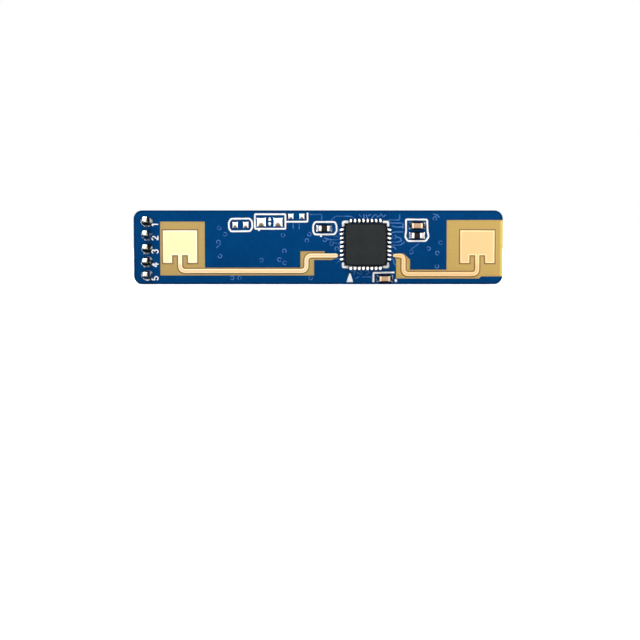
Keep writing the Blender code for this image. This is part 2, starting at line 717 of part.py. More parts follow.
def housing_outline():
    """The header's plan: one block for each pin, its corners cut so that a notch divides each pair."""
    x = HOUSING_WIDTH / 2
    half = PIN_PITCH / 2 - HOUSING_END_GAP / PIN_COUNT
    right = []
    for i in range(PIN_COUNT):
        y = (i - (PIN_COUNT - 1) / 2) * PIN_PITCH
        right += [(x - HOUSING_NOTCH, y - half), (x, y - half + HOUSING_NOTCH)]
        right += [(x, y + half - HOUSING_NOTCH), (x - HOUSING_NOTCH, y + half)]
    return right + [(-px, -py) for px, py in right]


def make_header(back):
    """The moulded housing, square holes for the pins, and a channel that keeps it off the solder."""
    x, _ = pin_places()[0]
    hole = PIN_WIDTH + 2 * PIN_CLEARANCE
    holes = [rectangle(hole, hole, (0, y)) for _, y in pin_places()]
    mesh = extruded("header_housing", [housing_outline()] + holes, HOUSING_HEIGHT)
    housing = piece("header_housing", mesh, BLACK_MOULDING, back, (x, 0), SEAT_GAP)
    run = PIN_COUNT * PIN_PITCH + HOUSING_WIDTH
    rise = SEAT_GAP + HOUSING_CHANNEL_DEPTH
    channel = [(x, 0, -HOUSING_CHANNEL_DEPTH, rise, HOUSING_CHANNEL_WIDTH, run, 0)]
    boolean(housing, cutter("header_channel", join_boxes("header_channel", channel), back), "DIFFERENCE")
    low = -BOARD_THICKNESS - PIN_STUB
    high = SEAT_GAP + HOUSING_HEIGHT + PIN_FREE_LENGTH
    full = rectangle(PIN_WIDTH, PIN_WIDTH)
    tip = rectangle(PIN_WIDTH * PIN_TIP_SHARE, PIN_WIDTH * PIN_TIP_SHARE)
    rings = [level(tip, low), level(full, low + PIN_TIP), level(full, high - PIN_TIP), level(tip, high)]
    pin = loft("header_pin", rings)
    for number, place in enumerate(pin_places(), 1):
        piece(f"header_pin_{number}", pin, GOLD, back, place)


def make_solder_joints(front):
    """The solder cone round each pin: a ring turned from a hollow flank, down to its land."""
    bore = PIN_WIDTH / math.sqrt(2) + PIN_CLEARANCE
    top = bore + SOLDER_LIP
    flank = []
    for i in range(ARC_STEPS + 1):
        t = i / ARC_STEPS
        radius = top + (SOLDER_RADIUS - top) * (1 - math.cos(t * QUARTER_TURN))
        flank.append((radius, 0, SEAT_GAP + SOLDER_HEIGHT * (1 - math.sin(t * QUARTER_TURN))))
    profile = flank + [(bore, 0, SEAT_GAP), (bore, 0, SEAT_GAP + SOLDER_HEIGHT)]
    mesh = ring_profile("solder_joint", profile)
    for number, (x, y) in enumerate(pin_places(), 1):
        turned(piece(f"solder_joint_{number}", mesh, TIN, front, (x, -y)))


def package(name, side_length, height, count, side, at):
    """A moulded quad flat package, with the ends of its leads showing at the foot of each side."""
    seat = LAND_HEIGHT + SEAT_GAP
    core = rounded_rectangle(side_length, side_length, PACKAGE_CORNER, 3)
    body = piece(name, extruded(name, [core], height, PACKAGE_EDGE), BLACK_EPOXY, side, at, seat)
    low = seat + PACKAGE_EDGE / 2
    reach = side_length / 2 + LEAD_FRAME_STEP
    leads = lead_rows(at, reach, LEAD_PITCH, count, low, low + LEAD_FRAME_HEIGHT)
    boolean(body, cutter(f"{name}_leads", join_boxes(f"{name}_leads", leads), side), "UNION")


def chip_mesh(name, kind):
    """A ceramic chip whose plated ends wrap round it and stand a little proud of it."""
    length, width, height, end = kind
    rings = []
    for x, proud in (
        (-length / 2, END_WRAP),
        (-length / 2 + end, END_WRAP),
        (-length / 2 + end, 0),
        (length / 2 - end, 0),
        (length / 2 - end, END_WRAP),
        (length / 2, END_WRAP),
    ):
        thinner = 2 * (END_WRAP - proud)
        section = rectangle(width - thinner, height - thinner, (0, height / 2))
        rings.append([(x, y, z) for y, z in section])
    return loft(name, rings)


def make_chips(parts, side, meshes):
    for name, kind, finish, at, turn in parts:
        key = (kind, finish.name)
        if key not in meshes:
            meshes[key] = chip_mesh(f"{finish.name}_chip", kind)
        piece(name, meshes[key], finish, side, at, LAND_HEIGHT + SEAT_GAP, turn)


def make_regulator(back):
    """The moulded body, drawn in above and below its parting line, and three gull-wing leads."""
    at = share(REGULATOR_AT)
    foot = LAND_HEIGHT + SEAT_GAP
    low = foot + REGULATOR_STANDOFF
    high = low + REGULATOR_HEIGHT
    parting = (low + high) / 2
    full = rectangle(REGULATOR_WIDTH, REGULATOR_LENGTH)
    drawn = rectangle(REGULATOR_WIDTH - 2 * REGULATOR_DRAFT, REGULATOR_LENGTH - 2 * REGULATOR_DRAFT)
    rings = [level(drawn, low), level(full, parting), level(drawn, high)]
    piece("regulator_body", loft("regulator_body", rings), BLACK_EPOXY, back, at)
    start = REGULATOR_WIDTH / 2 + SEAT_GAP
    knee = start + GULL_SHOULDER
    tip = start + GULL_REACH
    centre_low = foot + GULL_THICKNESS / 2
    corners = [(start, parting), (knee, parting), (knee + GULL_SHOULDER / 2, centre_low), (tip, centre_low)]
    path = rounded_path(corners, GULL_BEND_RADIUS)
    section = beside(path, -GULL_THICKNESS / 2) + beside(path, GULL_THICKNESS / 2)[::-1]
    rings = [[(x, y, z) for x, z in section] for y in (GULL_WIDTH / 2, -GULL_WIDTH / 2)]
    lead = loft("regulator_lead", rings)
    places = ((0, math.pi), (-REGULATOR_PITCH, 0), (REGULATOR_PITCH, 0))
    for number, (offset, turn) in enumerate(places, 1):
        piece(f"regulator_lead_{number}", lead, TIN, back, (at[0], at[1] + offset), 0, turn)


def make_crystal(back):
    """A ceramic tray with notched corners, its gold seal ring and the metal lid welded on it."""
    at = share(CRYSTAL_AT)
    x, y = CRYSTAL_WIDTH / 2, CRYSTAL_LENGTH / 2
    outline = []
    for turn, (sx, sy) in enumerate(((1, 1), (-1, 1), (-1, -1), (1, -1))):
        start = (turn - 1) * QUARTER_TURN
        outline += arc((sx * x, sy * y), CRYSTAL_CORNER, start, start - QUARTER_TURN)
    seat = LAND_HEIGHT + SEAT_GAP
    base = extruded("crystal_base", [outline], CRYSTAL_BASE_HEIGHT)
    piece("crystal_base", base, CERAMIC, back, at, seat)
    margin = CRYSTAL_RING_MARGIN
    corner = CRYSTAL_CORNER + margin
    outer = rounded_rectangle(CRYSTAL_WIDTH - 2 * margin, CRYSTAL_LENGTH - 2 * margin, corner)
    margin += CRYSTAL_RING_WIDTH
    inner = rounded_rectangle(CRYSTAL_WIDTH - 2 * margin, CRYSTAL_LENGTH - 2 * margin, CRYSTAL_CORNER / 2)
    seat += CRYSTAL_BASE_HEIGHT + SEAT_GAP
    ring = extruded("crystal_seal_ring", [outer, inner], CRYSTAL_RING_HEIGHT)
    piece("crystal_seal_ring", ring, GOLD, back, at, seat)
    margin = CRYSTAL_RING_MARGIN + CRYSTAL_LID_MARGIN
    cover = rounded_rectangle(CRYSTAL_WIDTH - 2 * margin, CRYSTAL_LENGTH - 2 * margin, CRYSTAL_CORNER)
    seat += CRYSTAL_RING_HEIGHT + SEAT_GAP
    lid = extruded("crystal_lid", [cover], CRYSTAL_LID_HEIGHT, CRYSTAL_LID_HEIGHT / 4)
    piece("crystal_lid", lid, TIN, back, at, seat)


def make_inductor(back):
    """A ferrite core of foot and post, the wire wound on the post, and the resin cap over both."""
    at = share(INDUCTOR_AT)
    seat = LAND_HEIGHT + SEAT_GAP
    outline = cut_rectangle(INDUCTOR_LENGTH, INDUCTOR_WIDTH, INDUCTOR_CHAMFER)
    foot = extruded("inductor_core", [outline], INDUCTOR_FLANGE)
    core = piece("inductor_core", foot, FERRITE, back, at, seat)
    inside = INDUCTOR_HEIGHT - INDUCTOR_CAP_WALL - SEAT_GAP
    post_low = seat + INDUCTOR_FLANGE / 2
    post = join_cylinders("inductor_post", [at], INDUCTOR_POST_RADIUS, post_low, seat + inside, 20)
    boolean(core, cutter("inductor_post", post, back), "UNION")

    radius = INDUCTOR_POST_RADIUS + WINDING_GAP + WINDING_WIRE
    profile = []
    for i in range(WINDING_TURNS):
        centre = (radius, seat + INDUCTOR_FLANGE + WINDING_GAP + WINDING_WIRE * (0.5 + i))
        profile += arc(centre, WINDING_WIRE / 2, -QUARTER_TURN + 0.4, QUARTER_TURN - 0.4, 3)
    back_wall = radius - WINDING_WIRE / 2
    profile += [(back_wall, profile[-1][1]), (back_wall, profile[0][1])]
    winding = ring_profile("inductor_winding", [(x, 0, z) for x, z in profile[::-1]])
    turned(piece("inductor_winding", winding, COPPER, back, at))

    length = INDUCTOR_LENGTH - 2 * INDUCTOR_CAP_MARGIN
    width = INDUCTOR_WIDTH - 2 * INDUCTOR_CAP_MARGIN
    outline = rounded_rectangle(length, width, INDUCTOR_CAP_CORNER)
    height = INDUCTOR_HEIGHT - INDUCTOR_FLANGE - SEAT_GAP
    cap_low = seat + INDUCTOR_FLANGE + SEAT_GAP
    cap = extruded("inductor_cap", [outline], height, INDUCTOR_CAP_EDGE)
    cover = piece("inductor_cap", cap, BROWN_RESIN, back, at, cap_low)
    pocket = radius + WINDING_WIRE / 2 + WINDING_GAP
    hollow = join_cylinders("cap_pocket", [at], pocket, seat, seat + INDUCTOR_HEIGHT - INDUCTOR_CAP_WALL, 24)
    boolean(cover, cutter("cap_pocket", hollow, back), "DIFFERENCE")


def front_chip_parts():
    """The antenna side's chip parts: name, size, finish, place and turn."""
    chip_x, _ = share(RADAR_CHIP_AT)
    _, spare_y = share((0, FRONT_SPARE_HEIGHT))
    return [
        ("feed_resistor", RESISTOR, RESISTOR_BLACK, share(FEED_RESISTOR_AT), 0),
        ("front_capacitor_1", CAPACITOR, TAN_CERAMIC, share(FRONT_CAPACITOR_AT), 0),
        ("front_resistor", RESISTOR, RESISTOR_BLACK, share(FRONT_RESISTOR_AT), 0),
        ("front_capacitor_2", CAPACITOR, TAN_CERAMIC, (chip_x + SPARE_RESISTOR_REACH, spare_y), 0),
    ]


def back_chip_parts():
    """The header side's chip parts: name, size, finish, place and turn."""
    header_x, _ = pin_places()[0]
    resistor_x = header_x + HOUSING_WIDTH / 2 + HEADER_TO_RESISTOR
    _, height = share((0, HEADER_PARTS_HEIGHT))
    row_x, row_y = share(INPUT_ROW_AT)
    column_x, column_y = share(BUS_COLUMN_AT)
    parts = [
        ("header_resistor", RESISTOR, RESISTOR_BLACK, (resistor_x, height), QUARTER_TURN),
        ("bulk_capacitor", BULK, GREY_CERAMIC, (resistor_x + RESISTOR_TO_BULK, height), QUARTER_TURN),
        ("input_resistor_1", RESISTOR, RESISTOR_BLACK, (row_x - 1.5 * INPUT_ROW_PITCH, row_y), QUARTER_TURN),
        ("input_resistor_2", RESISTOR, RESISTOR_BLACK, (row_x + 0.5 * INPUT_ROW_PITCH, row_y), QUARTER_TURN),
        ("input_capacitor", CAPACITOR, TAN_CERAMIC, (row_x + 1.5 * INPUT_ROW_PITCH, row_y), QUARTER_TURN),
        ("controller_capacitor", CAPACITOR, TAN_CERAMIC, share(CONTROLLER_CAPACITOR_AT), 0),
    ]
    for i in range(BUS_RESISTORS):
        y = column_y + ((BUS_RESISTORS - 1) / 2 - i) * BUS_PITCH
        parts.append((f"bus_resistor_{i + 1}", RESISTOR, RESISTOR_BLACK, (column_x, y), 0))
    return parts + [
        ("filter_capacitor_1", CAPACITOR, TAN_CERAMIC, share(FILTER_CAPACITOR_1_AT), QUARTER_TURN),
        ("filter_resistor_1", RESISTOR, RESISTOR_BLACK, share(FILTER_RESISTOR_1_AT), 0),
        ("filter_capacitor_2", CAPACITOR, TAN_CERAMIC, share(FILTER_CAPACITOR_2_AT), 0),
        ("filter_resistor_2", RESISTOR, RESISTOR_BLACK, share(FILTER_RESISTOR_2_AT), QUARTER_TURN),
        ("filter_resistor_3", RESISTOR, RESISTOR_BLACK, share(FILTER_RESISTOR_3_AT), QUARTER_TURN),
        ("load_capacitor_1", CAPACITOR, GREY_CERAMIC, share(LOAD_CAPACITOR_1_AT), QUARTER_TURN),
        ("load_capacitor_2", CAPACITOR, GREY_CERAMIC, share(LOAD_CAPACITOR_2_AT), QUARTER_TURN),
        ("output_capacitor", OUTPUT, GREY_CERAMIC, share(OUTPUT_CAPACITOR_AT), 0),
    ]


clear_scene()
MODULE = collection("radar_sensor_module")
CUTTERS = collection("cutters")

BLUE_MASK = material("blue_mask", (0.0, 0.09, 0.22), 0.35)
GOLD = material("gold", (0.83, 0.62, 0.28), 0.35, 0.9)
TIN = material("tin", (0.75, 0.75, 0.73), 0.3, 1.0)
COPPER = material("copper", (0.72, 0.35, 0.18), 0.35, 1.0)
BLACK_MOULDING = material("black_moulding", (0.02, 0.02, 0.02), 0.6)
BLACK_EPOXY = material("black_epoxy", (0.03, 0.03, 0.035), 0.5)
RESISTOR_BLACK = material("resistor", (0.03, 0.03, 0.03), 0.4)
TAN_CERAMIC = material("capacitor", (0.45, 0.28, 0.16), 0.5)
GREY_CERAMIC = material("grey_capacitor", (0.25, 0.21, 0.15), 0.5)
CERAMIC = material("ceramic", (0.12, 0.10, 0.08), 0.6)
FERRITE = material("ferrite", (0.03, 0.03, 0.03), 0.7)
BROWN_RESIN = material("brown_resin", (0.20, 0.06, 0.035), 0.55)

RESISTOR = (SMALL_LENGTH, SMALL_WIDTH, RESISTOR_HEIGHT, RESISTOR_END)
CAPACITOR = (SMALL_LENGTH, SMALL_WIDTH, CAPACITOR_HEIGHT, CAPACITOR_END)
BULK = (BULK_LENGTH, BULK_WIDTH, BULK_HEIGHT, BULK_END)
OUTPUT = (OUTPUT_LENGTH, OUTPUT_WIDTH, OUTPUT_HEIGHT, OUTPUT_END)

FRONT = side_frame("antenna_side", -BOARD_THICKNESS / 2, QUARTER_TURN)
BACK = side_frame("header_side", BOARD_THICKNESS / 2, -QUARTER_TURN)

make_board(FRONT, BACK, front_chip_parts(), back_chip_parts())
make_antennas(FRONT)
make_header(BACK)
make_solder_joints(FRONT)
package("radar_chip", RADAR_CHIP_SIDE, RADAR_CHIP_HEIGHT, RADAR_CHIP_LEADS, FRONT, share(RADAR_CHIP_AT))
package("controller", CONTROLLER_SIDE, CONTROLLER_HEIGHT, CONTROLLER_LEADS, BACK, share(CONTROLLER_AT))
CHIP_MESHES = {}
make_chips(front_chip_parts(), FRONT, CHIP_MESHES)
make_chips(back_chip_parts(), BACK, CHIP_MESHES)
make_regulator(BACK)
make_crystal(BACK)
make_inductor(BACK)
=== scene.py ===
import math

import bmesh
import bpy
import numpy as np
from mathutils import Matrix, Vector


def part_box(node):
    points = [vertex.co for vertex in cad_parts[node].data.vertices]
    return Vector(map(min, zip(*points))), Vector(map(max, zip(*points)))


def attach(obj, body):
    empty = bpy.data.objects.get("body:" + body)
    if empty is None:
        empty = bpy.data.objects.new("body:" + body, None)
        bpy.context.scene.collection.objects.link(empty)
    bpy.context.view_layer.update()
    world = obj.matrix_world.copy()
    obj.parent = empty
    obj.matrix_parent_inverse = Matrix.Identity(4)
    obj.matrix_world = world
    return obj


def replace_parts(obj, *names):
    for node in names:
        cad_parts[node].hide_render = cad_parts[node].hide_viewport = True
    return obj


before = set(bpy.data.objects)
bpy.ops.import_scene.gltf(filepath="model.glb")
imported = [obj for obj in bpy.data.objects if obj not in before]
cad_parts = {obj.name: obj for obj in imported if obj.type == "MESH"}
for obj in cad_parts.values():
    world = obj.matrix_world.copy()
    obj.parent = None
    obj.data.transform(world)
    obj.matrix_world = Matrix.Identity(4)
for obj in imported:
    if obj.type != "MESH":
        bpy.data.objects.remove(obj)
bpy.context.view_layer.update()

# Board millimetres: along the board, across it from its middle, and height over the face
MM = 0.001
HALF_THICKNESS = 0.5
HALF_WIDTH = 3.5
HALF_LENGTH = 17.5
CORNER = 0.8
ANTENNA_SIDE = -1
HEADER_SIDE = 1

# Printed lines, mask and solder
LEGEND_WIDTH = 0.15
BACK_LEGEND_WIDTH = 0.135
LEGEND_HEIGHT = 0.028
TRACE_HEIGHT = 0.016
WINDOW_DEPTH = 0.04
LAND_TOP = 0.05
# Height of the sheets of painted shade laid on the mask
SHADE_SHEET_HEIGHT = 0.006
LEAD_PITCH = 0.40
BELOW_WINDOWS = HALF_THICKNESS - WINDOW_DEPTH - 0.0005
GOLD_FROM_X = 15.9
FIDUCIAL = (-10.0, -1.72)
PAD_VIA_PITCH = 0.75
VIA_SWEEP_DEG = 275
NUMERAL_WIDTH = 0.10

# A place so far off that no bare land browns round it, and the heights of the pin joints with a lighter
# painted shade
FAR = (0.0, 90.0)
LIGHTLY_SHADED_Z = (4.77, 0.96)

# The solder on a pin's tail
TAIL_RADIUS = 0.225
JOINT_SPREAD = 0.33
FLANK_TOP = 0.74
TAIL_SHOULDER = 0.93

# Antennas, in board millimetres, as in the part's source
TRANSMIT_X = -13.11
RECEIVE_X = 15.10
PATCH_LOW = -1.48
PATCH_LENGTH = 3.24
PATCH_HEIGHT = 3.08
NOTCH_WIDTH = 1.50
NOTCH_DEPTH = 0.74
FEED_WIDTH = 0.38
FEED_BEND = 0.45
PLATING_TOP = 0.032
EDGE_LAND_X = 16.75
CHIP_FEED_Y = -0.7805

# The photograph: places in the upper picture are in its pixels
UPPER_LEFT_PX = 318.4
UPPER_MIDDLE_PX = 247.3
UPPER_PX_PER_MM = (10.53, 10.66)
CAMERA_DISTANCE = 130.56
CAMERA_ASIDE = 0.171
CAMERA_LIFT_DEG = 0.4
CAMERA_DIP_DEG = 3.04
FOCAL = 77.0

# The floor in metres, its glow by the distance in millimetres, and the studio's light
FLOOR_HALF = 0.45
FLOOR_POINTS = 13
SHADED_TO = 26.0
WHITE_FROM = 70.0
STUDIO_LIGHT = 0.25


# Places

def lay(points, side):
    """Board millimetres to metres. A height leaves the face, and across runs up on the antenna side
    and down on the header side."""
    along, across, height = np.asarray(points, float).reshape(-1, 3).T
    depth = side * (HALF_THICKNESS + height)
    return MM * np.stack([along, depth, HALF_WIDTH - side * across], axis=1)


def place_of(node, side):
    """A CAD node's left, right, lower and upper limits on its side, in board millimetres."""
    low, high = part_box(node)
    across = sorted(HALF_WIDTH * side - side * corner.z / MM for corner in (low, high))
    return low.x / MM, high.x / MM, *across


def middle_of(node, side):
    """The middle of a CAD node on its side, in board millimetres."""
    left, right, low, high = place_of(node, side)
    return np.array([(left + right) / 2, (low + high) / 2])


def upper(px, py):
    """A pixel of the photograph's upper picture in board millimetres."""
    return (px - UPPER_LEFT_PX) / UPPER_PX_PER_MM[0], (UPPER_MIDDLE_PX - py) / UPPER_PX_PER_MM[1]


# Paths

def unit(vectors):
    """Vectors over their own lengths."""
    return vectors / np.linalg.norm(vectors, axis=-1, keepdims=True)


def sideways(path, closed=False):
    """The sum of the normals of the two runs that meet at each point, over one plus their dot product,
    so that a band of even width stays even round a corner."""
    ahead = np.roll(path, -1, axis=0) - path
    if not closed:
        ahead[-1] = ahead[-2]
    ahead = unit(ahead)
    after = np.stack([-ahead[:, 1], ahead[:, 0]], axis=1)
    before = np.roll(after, 1, axis=0)
    if not closed:
        before[0] = after[0]
    return (after + before) / np.maximum(1 + (after * before).sum(axis=1, keepdims=True), 0.35)


def softened(corners, reach, closed=False, steps=5):
    """Each corner becomes a parabola between the points at the given reach before and after it, or at
    0.45 of the shorter run."""
    corners = np.asarray(corners, float)
    back = np.roll(corners, 1, axis=0) - corners
    on = np.roll(corners, -1, axis=0) - corners
    runs = np.minimum(np.linalg.norm(back, axis=1), np.linalg.norm(on, axis=1))
    reaches = np.minimum(reach, 0.45 * runs)[:, None]
    start = (corners + unit(back) * reaches)[:, None]
    end = (corners + unit(on) * reaches)[:, None]
    t = np.linspace(0, 1, steps)[None, :, None]
    curve = (1 - t) ** 2 * start + 2 * t * (1 - t) * corners[:, None] + t ** 2 * end
    points = curve.reshape(-1, 2)
    if closed:
        return points
    return np.concatenate([corners[:1], points[steps:-steps], corners[-1:]])


def refined(path, step, closed=False):
    """The same path with a point at least every step along it, found by the length travelled."""
    if closed:
        path = np.concatenate([path, path[:1]])
    travelled = np.concatenate([[0.0], np.cumsum(np.linalg.norm(np.diff(path, axis=0), axis=1))])
    regular = np.arange(step, travelled[-1], step)
    clear = np.abs(regular[:, None] - travelled[None]).min(axis=1) > 0.15 * step
    marks = np.sort(np.concatenate([travelled, regular[clear]]))
    found = np.stack([np.interp(marks, travelled, path[:, axis]) for axis in (0, 1)], axis=1)
    return found[:-1] if closed else found


def arc(centre, radius, start, end, steps):
    """Points at a radius round a centre, at even angles in degrees."""
    turn = np.radians(np.linspace(start, end, steps))
    return np.asarray(centre) + radius * np.stack([np.cos(turn), np.sin(turn)], axis=1)


def box_path(left, right, low, high):
    """The corners of a rectangle."""
    return [(left, low), (right, low), (right, high), (left, high)]


def superellipse(angle, power):
    """The cosine and the sine of each angle, to the power 2 over the given one, with their own signs."""
    return [np.sign(part) * np.abs(part) ** (2 / power) for part in (np.cos(angle), np.sin(angle))]


# Surfaces: points, faces and a mark at each point that a material reads

def grid_faces(rows, columns, wrap_rows=False, wrap_columns=False):
    """A quad between each point of a grid and its next row and column."""
    row = np.arange(rows if wrap_rows else rows - 1)
    column = np.arange(columns if wrap_columns else columns - 1)
    row, column = np.meshgrid(row, column, indexing="ij")
    next_row, next_column = (row + 1) % rows, (column + 1) % columns
    corners = [row * columns + column, next_row * columns + column,
               next_row * columns + next_column, row * columns + next_column]
    return np.stack(corners, axis=-1).reshape(-1, 4).tolist()


def skin(rings, marks):
    """A closed skin through rings of points: quads between neighbours, and a face over each end."""
    rows, columns = rings.shape[:2]
    faces = grid_faces(rows, columns, False, True)
    faces.append(list(range(columns))[::-1])
    faces.append(list(range((rows - 1) * columns, rows * columns)))
    marks = np.broadcast_to(marks, (rows, columns)).reshape(-1)
    return rings.reshape(-1, 3), faces, marks


def joined(surfaces):
    """Several surfaces in one: each one's faces are numbered on from the points before it."""
    points, faces, marks, count = [], [], [], 0
    for own_points, own_faces, own_marks in surfaces:
        points.append(own_points)
        marks.append(own_marks)
        faces += [[index + count for index in face] for face in own_faces]
        count += len(own_points)
    return np.concatenate(points), faces, np.concatenate(marks)


# A line of ink across its half width, and a low foot round it out to twice the half width, which the
# ink's finish paints as shade.
INK_BEAD = np.array([(-2.0, -0.3), (-1.9, 0.04), (-1.08, 0.1), (-0.98, 0.7), (-0.6, 1.0),
                     (0.6, 1.0), (0.98, 0.7), (1.08, 0.1), (1.9, 0.04), (2.0, -0.3)])
FLAT_BEAD = np.array([(-1.0, -0.5), (-0.75, 0.8), (0.0, 1.0), (0.75, 0.8), (1.0, -0.5)])


def bead(path, width, height, closed=False, ragged=0.0, seed=0.0, section=INK_BEAD, step=0.3):
    """A line of ink, mask or solder: a section carried along a path. Across the path a point lies at
    its share of half the width times the sideways vector, over the face at its share of the height.
    An open line ends in a half circle, as a pen leaves it. The width breathes by two sines."""
    path = refined(np.asarray(path, float), step, closed)
    half = width / 2
    swell = np.ones(len(path))
    if not closed:
        turn = np.radians([12, 38, 66])
        first = path[:1] - unit(path[1:2] - path[:1]) * half * np.cos(turn)[:, None]
        last = path[-1:] - unit(path[-2:-1] - path[-1:]) * half * np.cos(turn[::-1])[:, None]
        path = np.concatenate([first, path, last])
        swell = np.concatenate([np.sin(turn), swell, np.sin(turn[::-1])])
    phase = np.arange(len(path)) * 1.9 + seed
    breath = 1 + ragged * (np.sin(phase) + 0.6 * np.sin(2.7 * phase + 1.3))
    offset = sideways(path, closed) * (half * swell * breath)[:, None]
    flat = path[:, None] + offset[:, None] * section[None, :, :1]
    rise = height * section[None, :, 1] * np.sqrt(swell)[:, None]
    rings = np.concatenate([flat, rise[..., None]], axis=2)
    marks = np.broadcast_to(np.clip(section[:, 1], 0, 1), rings.shape[:2])
    if closed:
        faces = grid_faces(len(path), len(section), True, True)
        return rings.reshape(-1, 3), faces, marks.reshape(-1)
    return skin(rings, marks)


def pillow(centre, length, width, height, turn=0.0, square=3.0, lean=0.0, pinch=0.0, brown_point=None,
           base=LAND_TOP):
    """Solder drawn up over a land: at a share r of a superellipse it is height times (1 - r squared) to
    the power 0.7 high, plus lean times the place along it, and it closes flat below. Its sides are
    drawn in by the pinch times the squared cosine of twice the angle. The mark is the distance from
    the middle, as an ellipse counts it, or on a bare land it falls off round the brown point, where the
    tin turns brown."""
    angle = np.linspace(0, 2 * math.pi, 24, endpoint=False)
    share = np.array([0.08, 0.24, 0.4, 0.54, 0.67, 0.79, 0.89, 0.96, 1.0, 1.0])[:, None]
    drawn = share * (1 - pinch * np.cos(2 * angle) ** 2) if pinch else share
    cosine, sine = superellipse(angle, square)
    along = length / 2 * drawn * cosine
    across = width / 2 * drawn * sine
    rise = height * (1 - share ** 2) ** 0.7 * (1 + lean * 2 * along / length)
    rise[-1] = -0.02
    cos, sin = math.cos(turn), math.sin(turn)
    x = centre[0] + cos * along - sin * across
    y = centre[1] + sin * along + cos * across
    rings = np.stack([x, y, base + rise], axis=-1)
    if brown_point is None:
        marks = np.hypot(2 * along / length, 2 * across / width)
    else:
        marks = np.clip(1 - np.hypot(x - brown_point[0], (y - brown_point[1]) * 0.8) / (0.5 * width), 0, 1)
    return skin(rings[::-1], marks[::-1])


def outward(outline):
    """Sideways vectors of a closed outline, turned outwards by the sign of its area."""
    x, y = outline.T
    area = (x * np.roll(y, -1) - np.roll(x, -1) * y).sum()
    return sideways(outline, True) * (-1 if area > 0 else 1)


def plated(outline, steps):
    """A plated sheet: its outline repeated at each step's distance outside itself and height, with the
    step's mark, and flat inside the last one."""
    off, rise, marks = np.array(steps).T
    flat = outline[None] + outward(outline)[None] * off[:, None, None]
    rings = np.concatenate([flat, np.broadcast_to(rise[:, None, None], flat.shape[:2] + (1,))], axis=2)
    return skin(rings, marks[:, None])


def bar(left, right, low, high, bottom, top, end, power, wrap=0.015, round_off=0.05):
    """A chip part. Its section is a superellipse, carried along its length: drawn in at both ends by a
    quarter circle, and inside the plated ends by the plating's thickness. The mark is 1 on plating."""
    upright = high - low > right - left
    length, width = (high - low, right - left) if upright else (right - left, high - low)
    turn = np.radians([8, 35, 62, 90])
    edge = end + np.array([-0.035, -0.012, -0.002, 0.004, 0.008, 0.035])
    place = np.concatenate([round_off * (1 - np.cos(turn)), edge])
    shrink = np.concatenate([round_off * (1 - np.sin(turn)), wrap * np.array([0, 0.1, 0.5, 1, 1, 1])])
    marks = np.concatenate([np.ones(8), [0, 0]])
    place = np.concatenate([place, length - place[::-1]]) - length / 2
    shrink = np.concatenate([shrink, shrink[::-1]])[:, None]
    marks = np.concatenate([marks, marks[::-1]])[:, None]
    angle = np.linspace(0, 2 * math.pi, 28, endpoint=False)
    cosine, sine = superellipse(angle, power)
    across = (width / 2 - shrink) * cosine
    rise = (bottom + top) / 2 + ((top - bottom) / 2 - shrink) * sine
    along = np.broadcast_to(place[:, None], across.shape)
    middle = ((left + right) / 2, (low + high) / 2)
    x, y = (-across, along) if upright else (along, across)
    return skin(np.stack([middle[0] + x, middle[1] + y, rise], axis=-1), marks)


# Pieces

def add_piece(name, surface, side, finish, sharp_deg=38):
    """The surface as an object at the origin that rides on the module's one body."""
    points, faces, marks = surface
    mesh = bpy.data.meshes.new(name)
    mesh.from_pydata(lay(points, side).tolist(), [], faces)
    shaped = bmesh.new()
    shaped.from_mesh(mesh)
    bmesh.ops.recalc_face_normals(shaped, faces=shaped.faces)
    shaped.to_mesh(mesh)
    shaped.free()
    marked = mesh.attributes.new("mark", "FLOAT", "POINT")
    marked.data.foreach_set("value", np.asarray(marks, np.float32))
    mesh.polygons.foreach_set("use_smooth", np.ones(len(mesh.polygons), bool))
    mesh.set_sharp_from_angle(angle=math.radians(sharp_deg))
    mesh.materials.append(finish)
    made = bpy.data.objects.new(name, mesh)
    bpy.context.scene.collection.objects.link(made)
    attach(made, "root")
    return made


# Finishes

def node_for(operation, other_first=False):
    """An operator of Value: the math node that does it."""
    def operator(own, *others):
        values = (*others, own) if other_first else (own, *others)
        return own.finish.math(operation, *values)
    return operator


class Value:
    """What a shader node gives. Arithmetic on it adds the math nodes that do it."""

    def __init__(self, finish, socket):
        self.finish = finish
        self.socket = socket

    __add__ = node_for("ADD")
    __sub__ = node_for("SUBTRACT")
    __rsub__ = node_for("SUBTRACT", True)
    __mul__ = node_for("MULTIPLY")
    __truediv__ = node_for("DIVIDE")
    __pow__ = node_for("POWER")
    __abs__ = node_for("ABSOLUTE")
    __lt__ = node_for("LESS_THAN")
    __gt__ = node_for("GREATER_THAN")


def linear(red, green, blue):
    """A colour as it looks on a screen, from 0 to 255, in linear light."""
    value = np.array([red, green, blue]) / 255
    found = np.where(value <= 0.04045, value / 12.92, ((value + 0.055) / 1.055) ** 2.4)
    return (*(float(part) for part in found), 1.0)


